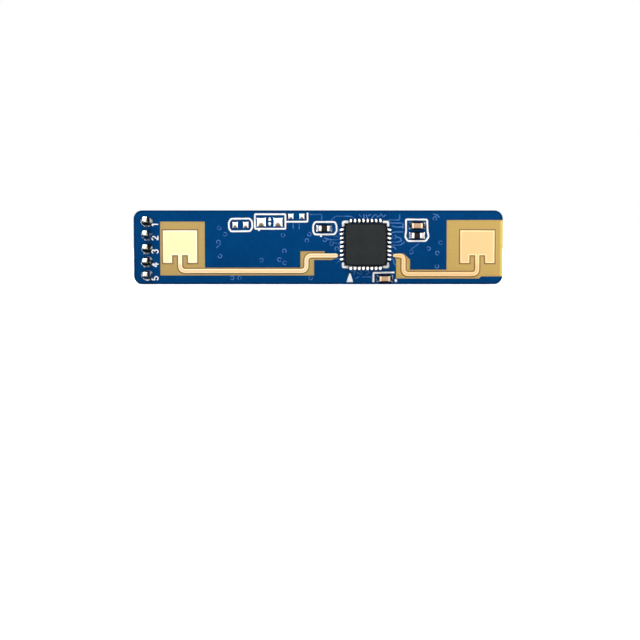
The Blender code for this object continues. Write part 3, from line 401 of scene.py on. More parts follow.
class Finish:
    """A node tree, with short ways to add to it."""

    def __init__(self, tree):
        self.tree = tree

    def feed(self, socket, value):
        if isinstance(value, Value):
            self.tree.links.new(value.socket, socket)
        elif value is not None:
            socket.default_value = value

    def node(self, kind, given=(), **settings):
        """A node's outputs, after its settings and its inputs, by name or number, are given."""
        made = self.tree.nodes.new(kind)
        for key, value in settings.items():
            setattr(made, key, value)
        for key, value in dict(given).items():
            self.feed(made.inputs[key], value)
        return made.outputs

    def add(self, kind, given=(), output=0, **settings):
        return Value(self, self.node(kind, given, **settings)[output])

    def math(self, operation, *values):
        return self.add("ShaderNodeMath", enumerate(values), operation=operation)

    def mix(self, share, first, second):
        """A blend of two colours, each a value or a colour of the screen."""
        pair = [linear(*colour) if isinstance(colour, tuple) else colour for colour in (first, second)]
        given = {0: share, 6: pair[0], 7: pair[1]}
        return self.add("ShaderNodeMix", given, 2, data_type="RGBA", blend_type="MIX")

    def between(self, value, low, high, first=0.0, last=1.0):
        """A smooth step from first to last, as the value goes from low to high."""
        given = enumerate((value, low, high, first, last))
        return self.add("ShaderNodeMapRange", given, interpolation_type="SMOOTHSTEP")

    def spread(self, share, low, high):
        return self.between(share, 0.0, 1.0, low, high)

    def noise(self, where, scale, detail=2.0, roughness=0.5):
        given = {"Vector": where, "Scale": scale, "Detail": detail, "Roughness": roughness}
        return self.add("ShaderNodeTexNoise", given, "Fac")

    def parts(self, vector):
        return [Value(self, socket) for socket in self.node("ShaderNodeSeparateXYZ", {0: vector})]

    def place(self):
        """Object coordinates in millimetres."""
        given = {0: self.add("ShaderNodeTexCoord", output="Object"), "Scale": 1 / MM}
        return self.add("ShaderNodeVectorMath", given, operation="SCALE")

    def mapped(self, vector, scale):
        """The vector with each axis stretched by its own number."""
        return self.add("ShaderNodeMapping", {"Vector": vector, "Scale": scale})

    def normal(self):
        return self.parts(self.add("ShaderNodeNewGeometry", output="Normal"))

    def facing(self):
        """How far the surface faces out of the board, from 0 on a wall to 1 on a flat."""
        return abs(self.normal()[1])

    def mark(self):
        return self.add("ShaderNodeAttribute", output="Fac", attribute_name="mark")

    def group(self, shared, **given):
        return [Value(self, socket) for socket in self.node("ShaderNodeGroup", given, node_tree=shared)]

    def grain(self, scale):
        """The shade and the height of a fine grain."""
        return self.group(FINE_GRAIN, Place=self.place(), Scale=scale)

    def metal(self, scale):
        """The dull film and the height of frozen metal."""
        return self.group(METAL_SKIN, Place=self.place(), Scale=scale)

    def wear(self, given):
        """The material, with its shader's inputs given by name."""
        for key, value in given.items():
            self.feed(self.shader.inputs[key], value)
        return self.material

    def paint(self, colour, roughness, height, depth, metallic=None, specular=None):
        """The material, with the height as bumps of a depth in millimetres."""
        given = {"Strength": 1.0, "Distance": depth * MM, "Height": height}
        return self.wear({"Base Color": colour, "Roughness": roughness, "Metallic": metallic,
                          "Specular IOR Level": specular, "Normal": self.add("ShaderNodeBump", given)})


def shared_effect(name, setting, start, found):
    """A node group that works out two numbers from a place and one setting: its tree, the place, the
    setting, and the sockets of the two."""
    tree = bpy.data.node_groups.new(name, "ShaderNodeTree")
    sockets = [("Place", "INPUT", "Vector"), (setting, "INPUT", "Float")]
    sockets += [(key, "OUTPUT", "Float") for key in found]
    made = [tree.interface.new_socket(key, in_out=way, socket_type="NodeSocket" + kind)
            for key, way, kind in sockets]
    made[1].default_value = start
    f = Finish(tree)
    given = [Value(f, socket) for socket in tree.nodes.new("NodeGroupInput").outputs]
    return tree, f, given[0], given[1], tree.nodes.new("NodeGroupOutput").inputs


def make_glass_cloth():
    """Woven glass under the surface: warp and weft are the sizes of two sines across and along the
    board, and the one on top changes with the sign of their product."""
    tree, f, place, pitch, out = shared_effect("glass_cloth", "Pitch", 0.5, ("Threads", "Height"))
    wander = f.noise(place, 0.9) * 0.5
    x, _, z = f.parts(place)
    step = f.math("DIVIDE", math.pi, pitch)
    warp = f.math("SINE", (x + wander) * step)
    weft = f.math("SINE", (z + wander) * step)
    over = f.between(warp * weft, -0.15, 0.15)
    rise = abs(warp) * over + abs(weft) * (1.0 - over)
    f.feed(out["Height"], rise)
    f.feed(out["Threads"], rise * f.noise(place, 2.2))
    return tree


def make_fine_grain():
    """Grain of a moulded, cast or sawn surface: three noises, the finest one as fine as the scale."""
    tree, f, place, scale, out = shared_effect("fine_grain", "Scale", 9.0, ("Shade", "Height"))
    fine = f.noise(place, scale, 3.0, 0.6)
    middle = f.noise(place, scale * 0.28, 2.0)
    broad = f.noise(place, scale * 0.07, 1.0)
    f.feed(out["Height"], fine * 0.7 + middle * 0.3)
    f.feed(out["Shade"], f.between(middle * 0.45 + broad * 0.55, 0.3, 0.7))
    return tree


def make_metal_skin():
    """Frozen metal: long waves where it flowed, small cells where it set, and a dull film in patches."""
    tree, f, place, scale, out = shared_effect("metal_skin", "Scale", 3.0, ("Film", "Height"))
    given = {"Vector": place, "Scale": scale * 2.6}
    cells = f.add("ShaderNodeTexVoronoi", given, "Distance", feature="SMOOTH_F1")
    f.feed(out["Height"], f.noise(place, scale, 1.0) + cells * 0.35)
    f.feed(out["Film"], f.between(f.noise(place, scale * 0.6), 0.45, 0.7))
    return tree


GLASS_CLOTH = make_glass_cloth()
FINE_GRAIN = make_fine_grain()
METAL_SKIN = make_metal_skin()


def new_finish(name):
    """A material with its Principled shader."""
    made = bpy.data.materials.new(name)
    made.use_nodes = True
    f = Finish(made.node_tree)
    f.material = made
    f.shader = made.node_tree.nodes["Principled BSDF"]
    return f


def board_finish():
    """The board's one solid by region, in millimetres from its own middle: gold or near black where it
    stands proud of the face, bare laminate on the window floor and the outer edge, metal down the holes,
    painted shade on the window's wall, and blue mask over copper on the rest, deeper where the copper
    stops short of the edge. The lands are near black where they show beside their solder, which is a
    piece of its own."""
    f = new_finish("blue_board")
    place = f.place()
    x, y, z = f.parts(place)
    facing = f.facing()
    depth = abs(y)
    threads, cloth = f.group(GLASS_CLOTH, Place=place, Pitch=0.42)
    shade, grain = f.grain(7.0)
    film, waves = f.metal(4.0)

    inset_x = f.math("MAXIMUM", abs(x) - (HALF_LENGTH - CORNER), 0.0)
    inset_z = f.math("MAXIMUM", abs(z - HALF_WIDTH) - (HALF_WIDTH - CORNER), 0.0)
    reach = f.math("SQRT", inset_x * inset_x + inset_z * inset_z)
    border = f.between(reach, CORNER - 0.24, CORNER - 0.18)
    # The mask is darker on the antenna side than on the header side: partly the copper under it, partly
    # painted light, the header side painted as more brightly lit.
    mask_front = f.mix(border, f.mix(shade, (0, 60, 113), (0, 66, 121)), (0, 54, 104))
    mask_back = f.mix(border, f.mix(shade, (0, 92, 145), (0, 101, 157)), (0, 80, 134))

    laminate = f.mix(f.between(x, -2.0, 4.0), (194, 165, 102), (204, 172, 101))
    laminate = f.mix(threads * 0.22, laminate, (172, 139, 78))
    laminate = f.mix(f.between(x, HALF_LENGTH - 0.28, HALF_LENGTH - 0.16), laminate, (230, 206, 100))
    layers = f.between(f.math("SINE", y * 46.0), -0.5, 0.9)
    streak = f.noise(f.mapped(place, (2.2, 14.0, 2.2)), 1.0, 3.0)
    edge = f.mix(streak * 0.6, f.mix(layers, (196, 170, 98), (150, 120, 62)), (218, 198, 130))

    back_end = (x > GOLD_FROM_X) * (y > 0.0)
    # The lands off the gold end are coloured near black.
    dark_land = f.mix(film, (16, 34, 58), (40, 48, 56))
    metal = f.mix(back_end, dark_land, f.mix(film, (255, 246, 180), (252, 236, 164)))

    proud = depth > HALF_THICKNESS + 0.0006
    wall = facing < 0.5
    outer_wall = wall * ((reach > CORNER - 0.03) * (depth < BELOW_WINDOWS - 0.0045))
    inner_wall = wall * (reach < CORNER - 0.03)
    window_wall = inner_wall * (depth > BELOW_WINDOWS)
    hole_wall = inner_wall * (depth < BELOW_WINDOWS)
    window_floor = (facing > 0.5) * (depth < HALF_THICKNESS - 0.001)
    # The window's wall, (0, 44, 92), is painted shade, darker than the mask.
    regions = ((window_floor, laminate), (window_wall, (0, 44, 92)), (outer_wall, edge),
               (hole_wall, (70, 62, 50)), (proud, metal))
    colour = f.mix(y < 0.0, mask_back, mask_front)
    for region, own in regions:
        colour = f.mix(region, colour, own)
    rough = f.math("MAXIMUM", window_floor, outer_wall) * 0.25 + shade * 0.06 + 0.30
    rise = cloth * 0.6 + grain * 0.4 + waves * (proud * 3.0)
    return f.paint(colour, rough, rise, 0.006, proud * f.spread(back_end, 0.2, 0.92), 0.02)


def plating_finish(name, patch_x, patch, patch_highlight, line, line_highlight):
    """Gold over copper. The mark runs from -1 at the foot over 0 at the edge to 1 inside. The patch and
    its feed line take their own pair of colours, the lighter one at the rim a painted highlight, and
    the foot round the plating is painted as its dark brown shadow on the laminate."""
    f = new_finish(name)
    x, _, z = f.parts(f.place())
    mark = f.mark()
    shade, height = f.grain(6.0)
    over = f.between(z, HALF_WIDTH + PATCH_LOW - 0.30, HALF_WIDTH + PATCH_LOW + 0.10)
    on_patch = (abs(x - patch_x) < PATCH_LENGTH / 2 + 0.1) * over
    # The rim's lighter colour is a painted highlight.
    inside = f.between(mark, 0.1, 0.95)
    colour = f.mix(on_patch, f.mix(inside, line_highlight, line), f.mix(inside, patch_highlight, patch))
    colour = f.mix(shade * 0.12, colour, (236, 200, 140))
    # Painted shadow on the foot: dark brown by the edge, going over to a tan further out.
    colour = f.mix(f.between(mark, -0.1, -0.6), colour, (140, 102, 44))
    colour = f.mix(f.between(mark, -1.0, -1.9), colour, (190, 158, 96))
    metallic = f.between(mark, -0.6, 0.0, 0.0, 0.35)
    return f.paint(colour, f.spread(shade, 0.34, 0.46), height, 0.004, metallic)


def ink_finish(name, plain, bright, shade_tone):
    """White legend ink: speckled, and a painted shade, darker than the mask, on the low foot round it."""
    f = new_finish(name)
    shade, height = f.grain(16.0)
    colour = f.mix(f.between(f.mark(), 0.55, 0.15), f.mix(shade, plain, bright), shade_tone)
    return f.paint(colour, f.spread(shade, 0.5, 0.7), height, 0.006)


def covered_finish(name, crest, foot):
    """Mask over a trace or a via: its crest shows lighter or darker than the mask beside it."""
    f = new_finish(name)
    shade, height = f.grain(7.0)
    worn = f.between(f.noise(f.place(), 1.3, 1.0), 0.38, 0.6, 0.4, 1.0)
    colour = f.mix(f.between(f.mark(), 0.15, 0.9) * worn, foot, crest)
    colour = f.mix(shade * 0.2, colour, foot)
    return f.paint(colour, f.spread(shade, 0.26, 0.36), height, 0.004, specular=0.06)


def solder_finish(name, bright, dull, roughness, low, high, waves, cover):
    """Solder and tin: bright, with patches of film at their share of the cover and shallow frozen
    waves, and with the dull colour in full where the mark passes from the low to the high value. On
    the fillets and at the leads that dull colour is painted shade."""
    f = new_finish(name)
    film, height = f.metal(4.5)
    marked_share = f.between(f.mark(), low, high)
    colour = f.mix(f.math("MAXIMUM", film * cover, marked_share), bright, dull)
    rough = f.spread(film, roughness, roughness + 0.15)
    return f.paint(colour, rough, height, waves, 0.9 - marked_share * 0.9)


def joint_finish():
    """The solder of a pin's joint: bright at the tip of the tail, with painted highlights on the rim
    where it faces left and down and in a streak on the lower flank where it faces right and up. Between
    them
    the flank is painted: a reflection of the blue mask where it faces left and up, and near black shade
    where it faces right and down, with a brown painted shade on the tip's lower right. The second and
    the fifth joint have a lighter painted shade."""
    f = new_finish("joint_solder")
    film, height = f.metal(4.0)
    mark = f.mark()
    x, _, z = f.normal()
    shade = x * 0.55 - z
    # Painted highlights: a crescent on the rim facing left and down, and a streak on the lower flank
    # facing right and up.
    crescent = f.between(x * -0.7 - z * 0.7, 0.1, 0.5) * f.between(mark, 0.16, 0.06)
    streak = f.between(x * 0.8 + z * 0.5, 0.35, 0.7) * f.between(mark, 0.34, 0.2)
    painted_glints = f.math("MAXIMUM", crescent, streak * film)
    shaded_share = f.between(mark, 0.86, 0.74) * (1.0 - painted_glints)
    # Painted shade on the flank, lighter on the second and the fifth joint: near black where it faces
    # right and down, and a painted reflection of the blue mask where it faces left and up.
    away = [abs(f.parts(f.place())[2] - joint_z) for joint_z in LIGHTLY_SHADED_Z]
    shade_tone = f.between(f.math("MINIMUM", *away), 0.60, 0.50)
    dark = f.mix(shade_tone * 0.75, (16, 28, 30), (6, 52, 98))
    flank_shade = f.mix(f.between(shade, -0.5, 0.1), (6, 52, 98), dark)
    colour = f.mix(film * 0.2, (255, 255, 252), (215, 208, 194))
    # Painted shade on the tail's tip: brown where it faces right and down.
    tip_side = f.between(mark, 0.75, 0.85) * f.between(shade, 0.0, 0.6)
    colour = f.mix(shaded_share, f.mix(tip_side, colour, (156, 128, 90)), flank_shade)
    return f.paint(colour, f.spread(film, 0.16, 0.3), height, 0.05, 0.9 - shaded_share * 0.65, 0.12)


def moulded_finish(name, dark, light, roughness, scale=11.0, depth=0.012, specular=0.35):
    """Moulded plastic or ceramic: a fine grain, mottled between two near shades."""
    f = new_finish(name)
    shade, height = f.grain(scale)
    rough = f.spread(shade, roughness, roughness + 0.12)
    return f.paint(f.mix(shade, dark, light), rough, height, depth, specular=specular)


def rolled_finish(name, bright, dull, roughness, stretch, depth=0.006, cut_end=None):
    """Rolled or drawn metal: noise drawn out along one axis gives fine lines in colour and height."""
    f = new_finish(name)
    lines = f.noise(f.mapped(f.place(), stretch), 1.0, 3.0)
    colour = f.mix(lines * 0.5 + f.metal(1.6)[0] * 0.4, bright, dull)
    if cut_end:
        colour = f.mix(f.between(f.facing(), 0.6, 0.8), colour, cut_end)
    return f.paint(colour, f.between(lines, 0.3, 0.7, roughness, roughness + 0.14), lines, depth, 0.95)


def chip_finish(name, flat, flank, plated_ends, plated_dull, gloss=0.4, browned=0.0):
    """A chip part: plated ends by its mark, and between them one colour on the flats and another on
    the flanks, which is painted shade: darker sides on the capacitors, and dark grey sides on the
    resistor in place of its white ceramic. The header side can be browner."""
    f = new_finish(name)
    shade, height = f.grain(13.0)
    film, waves = f.metal(5.0)
    ends = f.mark() > 0.5
    # Painted shade: the flank colour stands for the shaded sides of the part.
    body = f.mix(f.between(f.facing(), 0.45, 0.8), flank, flat)
    body = f.mix(shade * 0.10, body, (92, 74, 58))
    body = f.mix((f.parts(f.place())[1] > 0.0) * browned, body, (112, 72, 40))
    colour = f.mix(ends, body, f.mix(film, plated_ends, plated_dull))
    rise = waves * (ends * 2.0) + height
    return f.paint(colour, f.spread(shade, gloss, gloss + 0.15), rise, 0.010, ends * 0.9, 0.15)


def painted_shade_finish():
    """Mask with painted shade: near black in the middle of its strip, and blue again at its edge."""
    f = new_finish("mask_painted_shade")
    shade, height = f.grain(9.0)
    rim = f.mix(f.parts(f.place())[1] < 0.0, (0, 70, 122), (0, 46, 92))
    dark = f.mix(shade, (3, 14, 32), (2, 26, 54))
    colour = f.mix(f.between(f.mark(), 0.1, 0.95), rim, dark)
    return f.paint(colour, f.spread(shade, 0.3, 0.5), height, 0.004, specular=0.05)


def package_finish(name, node, top, edge, roughness, scale, specular, border=0.12, power=12.0,
                   metallic=0.0):
    """A package, lid or cap: finely grained, and of another shade along the edge of its top. The edge
    is found by a superellipse in the box of the CAD node."""
    f = new_finish(name)
    x, _, z = f.parts(f.place())
    low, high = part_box(node)
    middle = (low + high) / 2 / MM
    half = (high - low) / 2 / MM
    share = (abs(x - middle.x) / half.x) ** power + (abs(z - middle.z) / half.z) ** power
    shade, height = f.grain(scale)
    inner = 1 - border / min(half.x, half.z)
    at_edge = f.between(share ** (1 / power), inner - 0.03, inner + 0.01)
    colour = f.mix(at_edge, f.mix(shade * 0.12, top, edge), edge)
    rough = f.spread(shade, roughness, roughness + 0.12)
    return f.paint(colour, rough, height, 0.008, metallic, specular)


BOARD = board_finish()
INK = ink_finish("legend_ink_front", (250, 253, 251), (255, 255, 255), (0, 40, 92))
BACK_INK = ink_finish("legend_ink_back", (222, 250, 255), (240, 255, 255), (0, 62, 124))
FRONT_COVERED = covered_finish("mask_over_copper_front", (78, 122, 186), (4, 68, 124))
FRONT_SUNK = covered_finish("mask_over_hole_front", (0, 50, 100), (0, 60, 114))
BACK_COVERED = covered_finish("mask_over_copper_back", (0, 46, 104), (0, 72, 134))
BACK_SUNK = covered_finish("mask_over_hole_back", (0, 36, 96), (0, 52, 116))
BARE_TIN = solder_finish("tin_on_bare_lands", (255, 254, 252), (112, 92, 64), 0.28, 0.12, 0.6, 0.03, 0.05)
# Painted shade: the leads' pillows are near black at the corners of their rims, between the leads.
LEAD_TIN = solder_finish("tin_at_leads", (255, 255, 253), (8, 24, 46), 0.25, 0.98, 1.12, 0.02, 0.0)
# Painted shade: the fillets are near black in their hollows.
FILLET = solder_finish("fillets", (255, 254, 250), (10, 20, 34), 0.22, 0.3, 0.75, 0.03, 0.08)
SHADE_MASK = painted_shade_finish()
JOINT = joint_finish()
RIM = moulded_finish("bare_rim", (190, 150, 60), (206, 170, 84), 0.5, 9.0, 0.01, 0.1)
GOLD_PIN = rolled_finish("gold_pin", (240, 222, 170), (220, 194, 138), 0.26, (4.0, 0.6, 4.0), 0.001,
                         (255, 253, 244))
TINNED_LEAD = rolled_finish("tinned_lead", (252, 252, 250), (228, 226, 222), 0.26, (1.0, 6.0, 8.0), 0.002)
MOULDING = moulded_finish("black_moulding", (26, 23, 21), (41, 36, 34), 0.45, specular=0.2)
RADAR_EPOXY = package_finish("charcoal_epoxy", "radar_chip", (42, 45, 45), (7, 8, 8), 0.55, 12.0, 0.1)
CONTROLLER_EPOXY = package_finish("black_epoxy", "controller", (8, 3, 3), (4, 1, 1), 0.42, 12.0, 0.03)
REGULATOR_EPOXY = moulded_finish("dark_epoxy", (19, 18, 25), (27, 26, 34), 0.42, 10.0, 0.01, 0.08)
CERAMIC = moulded_finish("dark_ceramic", (84, 62, 40), (112, 84, 54), 0.5)
SEAL = rolled_finish("seal_ring_gold", (214, 168, 92), (150, 110, 60), 0.3, (5.0, 5.0, 5.0))
LID = package_finish("metal_lid", "crystal_lid", (254, 252, 252), (132, 98, 56), 0.3, 3.0, 0.5, 0.04,
                     metallic=0.7)
FERRITE = moulded_finish("ferrite", (9, 8, 8), (20, 17, 16), 0.5, 8.0, 0.02, 0.1)
COPPER = rolled_finish("copper_wire", (216, 142, 92), (150, 84, 52), 0.22, (4.0, 9.0, 4.0))
RESIN = package_finish("brown_resin", "inductor_cap", (112, 54, 42), (168, 140, 116), 0.4, 5.0, 0.1,
                       0.03, 3.6)
RESISTOR = chip_finish("chip_resistor", (14, 11, 10), (40, 36, 34), (255, 254, 250), (226, 216, 200),
                       0.35)
TAN_PART = chip_finish("tan_capacitor", (206, 170, 138), (168, 128, 98), (236, 214, 180), (216, 188, 148),
                       browned=0.45)
GREY_PART = chip_finish("grey_capacitor", (124, 102, 68), (92, 76, 50), (255, 252, 250), (226, 212, 190))
DULL_PART = chip_finish("dull_capacitor", (146, 124, 98), (112, 94, 74), (214, 204, 178), (180, 166, 134))
# The transmit patch's pale cream, paler than the same gold on the receive patch, is a painted highlight.
TRANSMIT = plating_finish("transmit_plating", TRANSMIT_X, (248, 239, 182), (255, 252, 226),
                          (243, 200, 155), (252, 236, 188))
RECEIVE = plating_finish("receive_plating", RECEIVE_X, (245, 192, 134), (255, 228, 168),
                         (229, 183, 130), (246, 216, 158))

NODE_FINISH = {
    "circuit_board": BOARD, "header_housing": MOULDING, "radar_chip": RADAR_EPOXY,
    "controller": CONTROLLER_EPOXY, "regulator_body": REGULATOR_EPOXY, "crystal_base": CERAMIC,
    "crystal_seal_ring": SEAL, "crystal_lid": LID, "inductor_core": FERRITE,
    "inductor_winding": COPPER, "inductor_cap": RESIN, "transmit_antenna": TRANSMIT,
    "receive_antenna": RECEIVE,
}
STEM_FINISH = {
    "header_pin": GOLD_PIN, "solder_joint": JOINT, "regulator_lead": TINNED_LEAD,
    "resistor": RESISTOR, "load_capacitor": DULL_PART, "bulk_capacitor": DULL_PART,
    "output_capacitor": GREY_PART, "capacitor": TAN_PART,
}


def dress_nodes():
    """Each CAD node takes its finish by its name, or else by the first stem that its name holds."""
    for name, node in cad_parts.items():
        finish = NODE_FINISH.get(name)
        if finish is None:
            finish = next(found for stem, found in STEM_FINISH.items() if stem in name)
        node.data.materials.clear()
        node.data.materials.append(finish)


# Antennas

def antenna_outline(patch_x, feed_y, jog_x, end_x, neck):
    """A square patch, notched where its feed line enters, and the line round its bends to its end. Over
    its last 0.5 mm the line narrows by the neck's share."""
    low, high = PATCH_LOW, PATCH_LOW + PATCH_HEIGHT
    left, right = patch_x - PATCH_LENGTH / 2, patch_x + PATCH_LENGTH / 2
    notch, roof = NOTCH_WIDTH / 2, low + NOTCH_DEPTH
    route = [(patch_x, roof), (patch_x, feed_y), (jog_x, feed_y), (jog_x, CHIP_FEED_Y)]
    route.append((end_x, CHIP_FEED_Y))
    path = softened(route, 1.15 * FEED_BEND, steps=9)
    path = refined(path, 0.3)
    from_end = np.linalg.norm(path - path[-1], axis=1)
    half = FEED_WIDTH / 2 * (1 - neck * np.clip(1 - from_end / 0.5, 0, 1))
    beside = sideways(path) * half[:, None]
    ahead = 0 if end_x > jog_x else 180
    tip = arc(path[-1], half[-1], ahead + 75, ahead - 75, 7)
    first = [(left, low), (left, high), (right, high), (right, low)]
    first += [(patch_x + notch, low), (patch_x + notch, roof)]
    last = [(patch_x - notch, roof), (patch_x - notch, low)]
    return np.concatenate([first, path + beside, tip, (path - beside)[::-1], last])


# Steps out from the outline: distance, height and mark. The steps with marks below 0 make a flared foot
# on the laminate, painted as the plating's shadow.
PLATING_STEPS = [
    (0.16, -WINDOW_DEPTH - 0.006, -2.0), (0.16, -WINDOW_DEPTH + 0.0015, -2.0),
    (0.11, -WINDOW_DEPTH + 0.003, -1.2), (0.03, -0.030, -0.9), (0.004, -0.012, -0.7),
    (-0.002, PLATING_TOP - 0.014, 0.0), (-0.03, PLATING_TOP, 0.1), (-0.09, PLATING_TOP, 0.35),
    (-0.14, PLATING_TOP, 1.0),
]


def make_antennas():
    """Both antennas, plated over the CAD ones, with soft edges and a flared foot painted as their shadow.
    """
    for node, finish, route in (
            ("transmit_antenna", TRANSMIT, (TRANSMIT_X, -2.245, -1.12, 1.68, 0.0)),
            ("receive_antenna", RECEIVE, (RECEIVE_X, -2.54, 8.10, 7.22, 0.28))):
        surface = plated(antenna_outline(*route), PLATING_STEPS)
        made = add_piece(node + "_plating", surface, ANTENNA_SIDE, finish, 60)
        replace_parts(made, node)


# Chip parts

def make_chip_parts():
    """Each chip part in its CAD node's box, with rounded plated ends, fillets and a strip of painted
    shade round it.
    """
    ends = {"bulk_capacitor": 0.20, "output_capacitor": 0.42}
    fillets = {ANTENNA_SIDE: [], HEADER_SIDE: []}
    rings = {ANTENNA_SIDE: [], HEADER_SIDE: []}
    for name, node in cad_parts.items():
        if not ("resistor" in name or "capacitor" in name):
            continue
        low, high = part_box(name)
        side = ANTENNA_SIDE if low.y < 0 else HEADER_SIDE
        heights = sorted(abs(corner.y) / MM - HALF_THICKNESS for corner in (low, high))
        own = (7.0, 0.22, 0.22, 0.15) if "resistor" in name else (4.5, 0.16, 0.9, 0.5)
        power, end, hollow, drawn = own
        place = place_of(name, side)
        surface = bar(*place, *heights, ends.get(name, end), power)
        fillets[side] += end_fillets(*place, 0.82 * heights[1], hollow, drawn)
        # A ring of painted shade round the part
        rings[side].append(shade_ring(*place, 0.06, 0.24))
        made = add_piece(name + "_part", surface, side, node.data.materials[0])
        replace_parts(made, name)
    for side, of in ((ANTENNA_SIDE, "front"), (HEADER_SIDE, "back")):
        add_piece("chip_part_fillets_" + of, joined(fillets[side]), side, FILLET)
        add_piece("chip_part_painted_shade_" + of, joined(rings[side]), side, SHADE_MASK)


def end_fillets(left, right, low, high, crest, hollow, drawn, reach=0.26):
    """The solder drawn up both ends of a chip part, over the wedge of solder on the board. Out from the
    part, its height falls as the power 1.9 of what is left of the reach, and its width grows by the
    square of the share. Its outer edge is drawn in at the middle by a parabola. Two ridges run out from
    the middle of the part's end to the corners, and the mark grows beside them, in the hollows, where
    the fillets' finish paints shade."""
    upright = high - low > right - left
    length, width = (high - low, right - left) if upright else (right - left, high - low)
    out = np.linspace(0, 1, 9)[:, None]
    aside = np.linspace(-1, 1, 17)[None]
    half = width / 2 + 0.01 + 0.07 * out ** 2
    along = length / 2 - 0.02 + (reach + 0.02) * out * (1 - drawn * (1 - aside ** 2))
    across = half * aside
    ridge = np.exp(-((np.abs(aside) - 0.35 - 0.55 * out) / 0.5) ** 2)
    climb = (crest - LAND_TOP) * (1 - out) ** 1.9 * (0.88 + 0.12 * ridge)
    rise = LAND_TOP + 0.03 * (1 - out ** 4) + climb
    marks = np.clip(hollow * (1 - ridge) * (0.4 + 1.6 * out), 0, 1)
    ends = []
    for way in (-1, 1):
        rings = np.stack([way * along, np.broadcast_to(across, along.shape), rise], axis=-1)
        under = rings[:, ::16][:, ::-1] * (1, 1, 0) - (0, 0, 0.01)
        rings = np.concatenate([rings, under], axis=1)
        if upright:
            rings = rings[..., [1, 0, 2]]
        rings = rings + ((left + right) / 2, (low + high) / 2, 0)
        ends.append(skin(rings, np.concatenate([marks, np.ones((9, 2))], axis=1)))
    return ends


def shade_ring(left, right, low, high, out, width):
    """A strip of painted shade on the mask all round a part, kept within the board's edges."""
    limit = HALF_WIDTH - width / 2 - 0.03
    corners = box_path(left - out, right + out, max(low - out, -limit), min(high + out, limit))
    return bead(softened(corners, 0.2, True), width, SHADE_SHEET_HEIGHT, True, section=FLAT_BEAD, step=9.0)


# Solder

def lead_pillows(node, side, count, sizes, lean, reach):
    """Solder at the foot of each lead of a flat package: a row of pillows along each of its sides, with
    a size for each row, and the rows at the left and right set aslant by the lean."""
    left, right, _, _ = place_of(node, side)
    middle = middle_of(node, side)
    made = []
    for quarter in range(4):
        turn = quarter * math.pi / 2
        cos, sin = math.cos(turn), math.sin(turn)
        for step in range(count):
            along, beside = (right - left) / 2 + reach, (step - (count - 1) / 2) * LEAD_PITCH
            centre = (middle[0] + cos * along - sin * beside, middle[1] + sin * along + cos * beside)
            made.append(pillow(centre, *sizes[quarter], 0.05, turn + lean[quarter], 3.2, -0.2))
    return joined(made)


def gap_bands(node, side, count, width=0.36, out=0.20):
    """Strips of painted shade on the mask under the leads' solder, one along each side of a package."""
    left, right, _, _ = place_of(node, side)
    middle = middle_of(node, side)
    half, along = (right - left) / 2 + out, (count - 0.15) * LEAD_PITCH / 2 - width / 4
    bands = []
    for way in ((1, 0), (0, 1), (-1, 0), (0, -1)):
        beside = np.array([-way[1], way[0]]) * along
        foot = middle + np.array(way) * half
        run = [foot - beside, foot + beside]
        bands.append(bead(run, width, SHADE_SHEET_HEIGHT, section=FLAT_BEAD, step=9.0))
    return joined(bands)


def pair_pillows(centre, length, width, reach, upright=False, height=0.05, pinch=0.17, browned_low=True):
    """Two solder pillows on a bare footprint, each turned brown towards its lower edge."""
    shift = np.array((0, reach) if upright else (reach, 0))
    made = []
    for middle in (centre + shift, centre - shift):
        brown_point = middle - (0, 0.45 * width) if browned_low else FAR
        turn = math.pi / 2 if upright else 0.0
        made.append(pillow(middle, length, width, height, turn, 12.0, pinch=pinch, brown_point=brown_point))
    return made


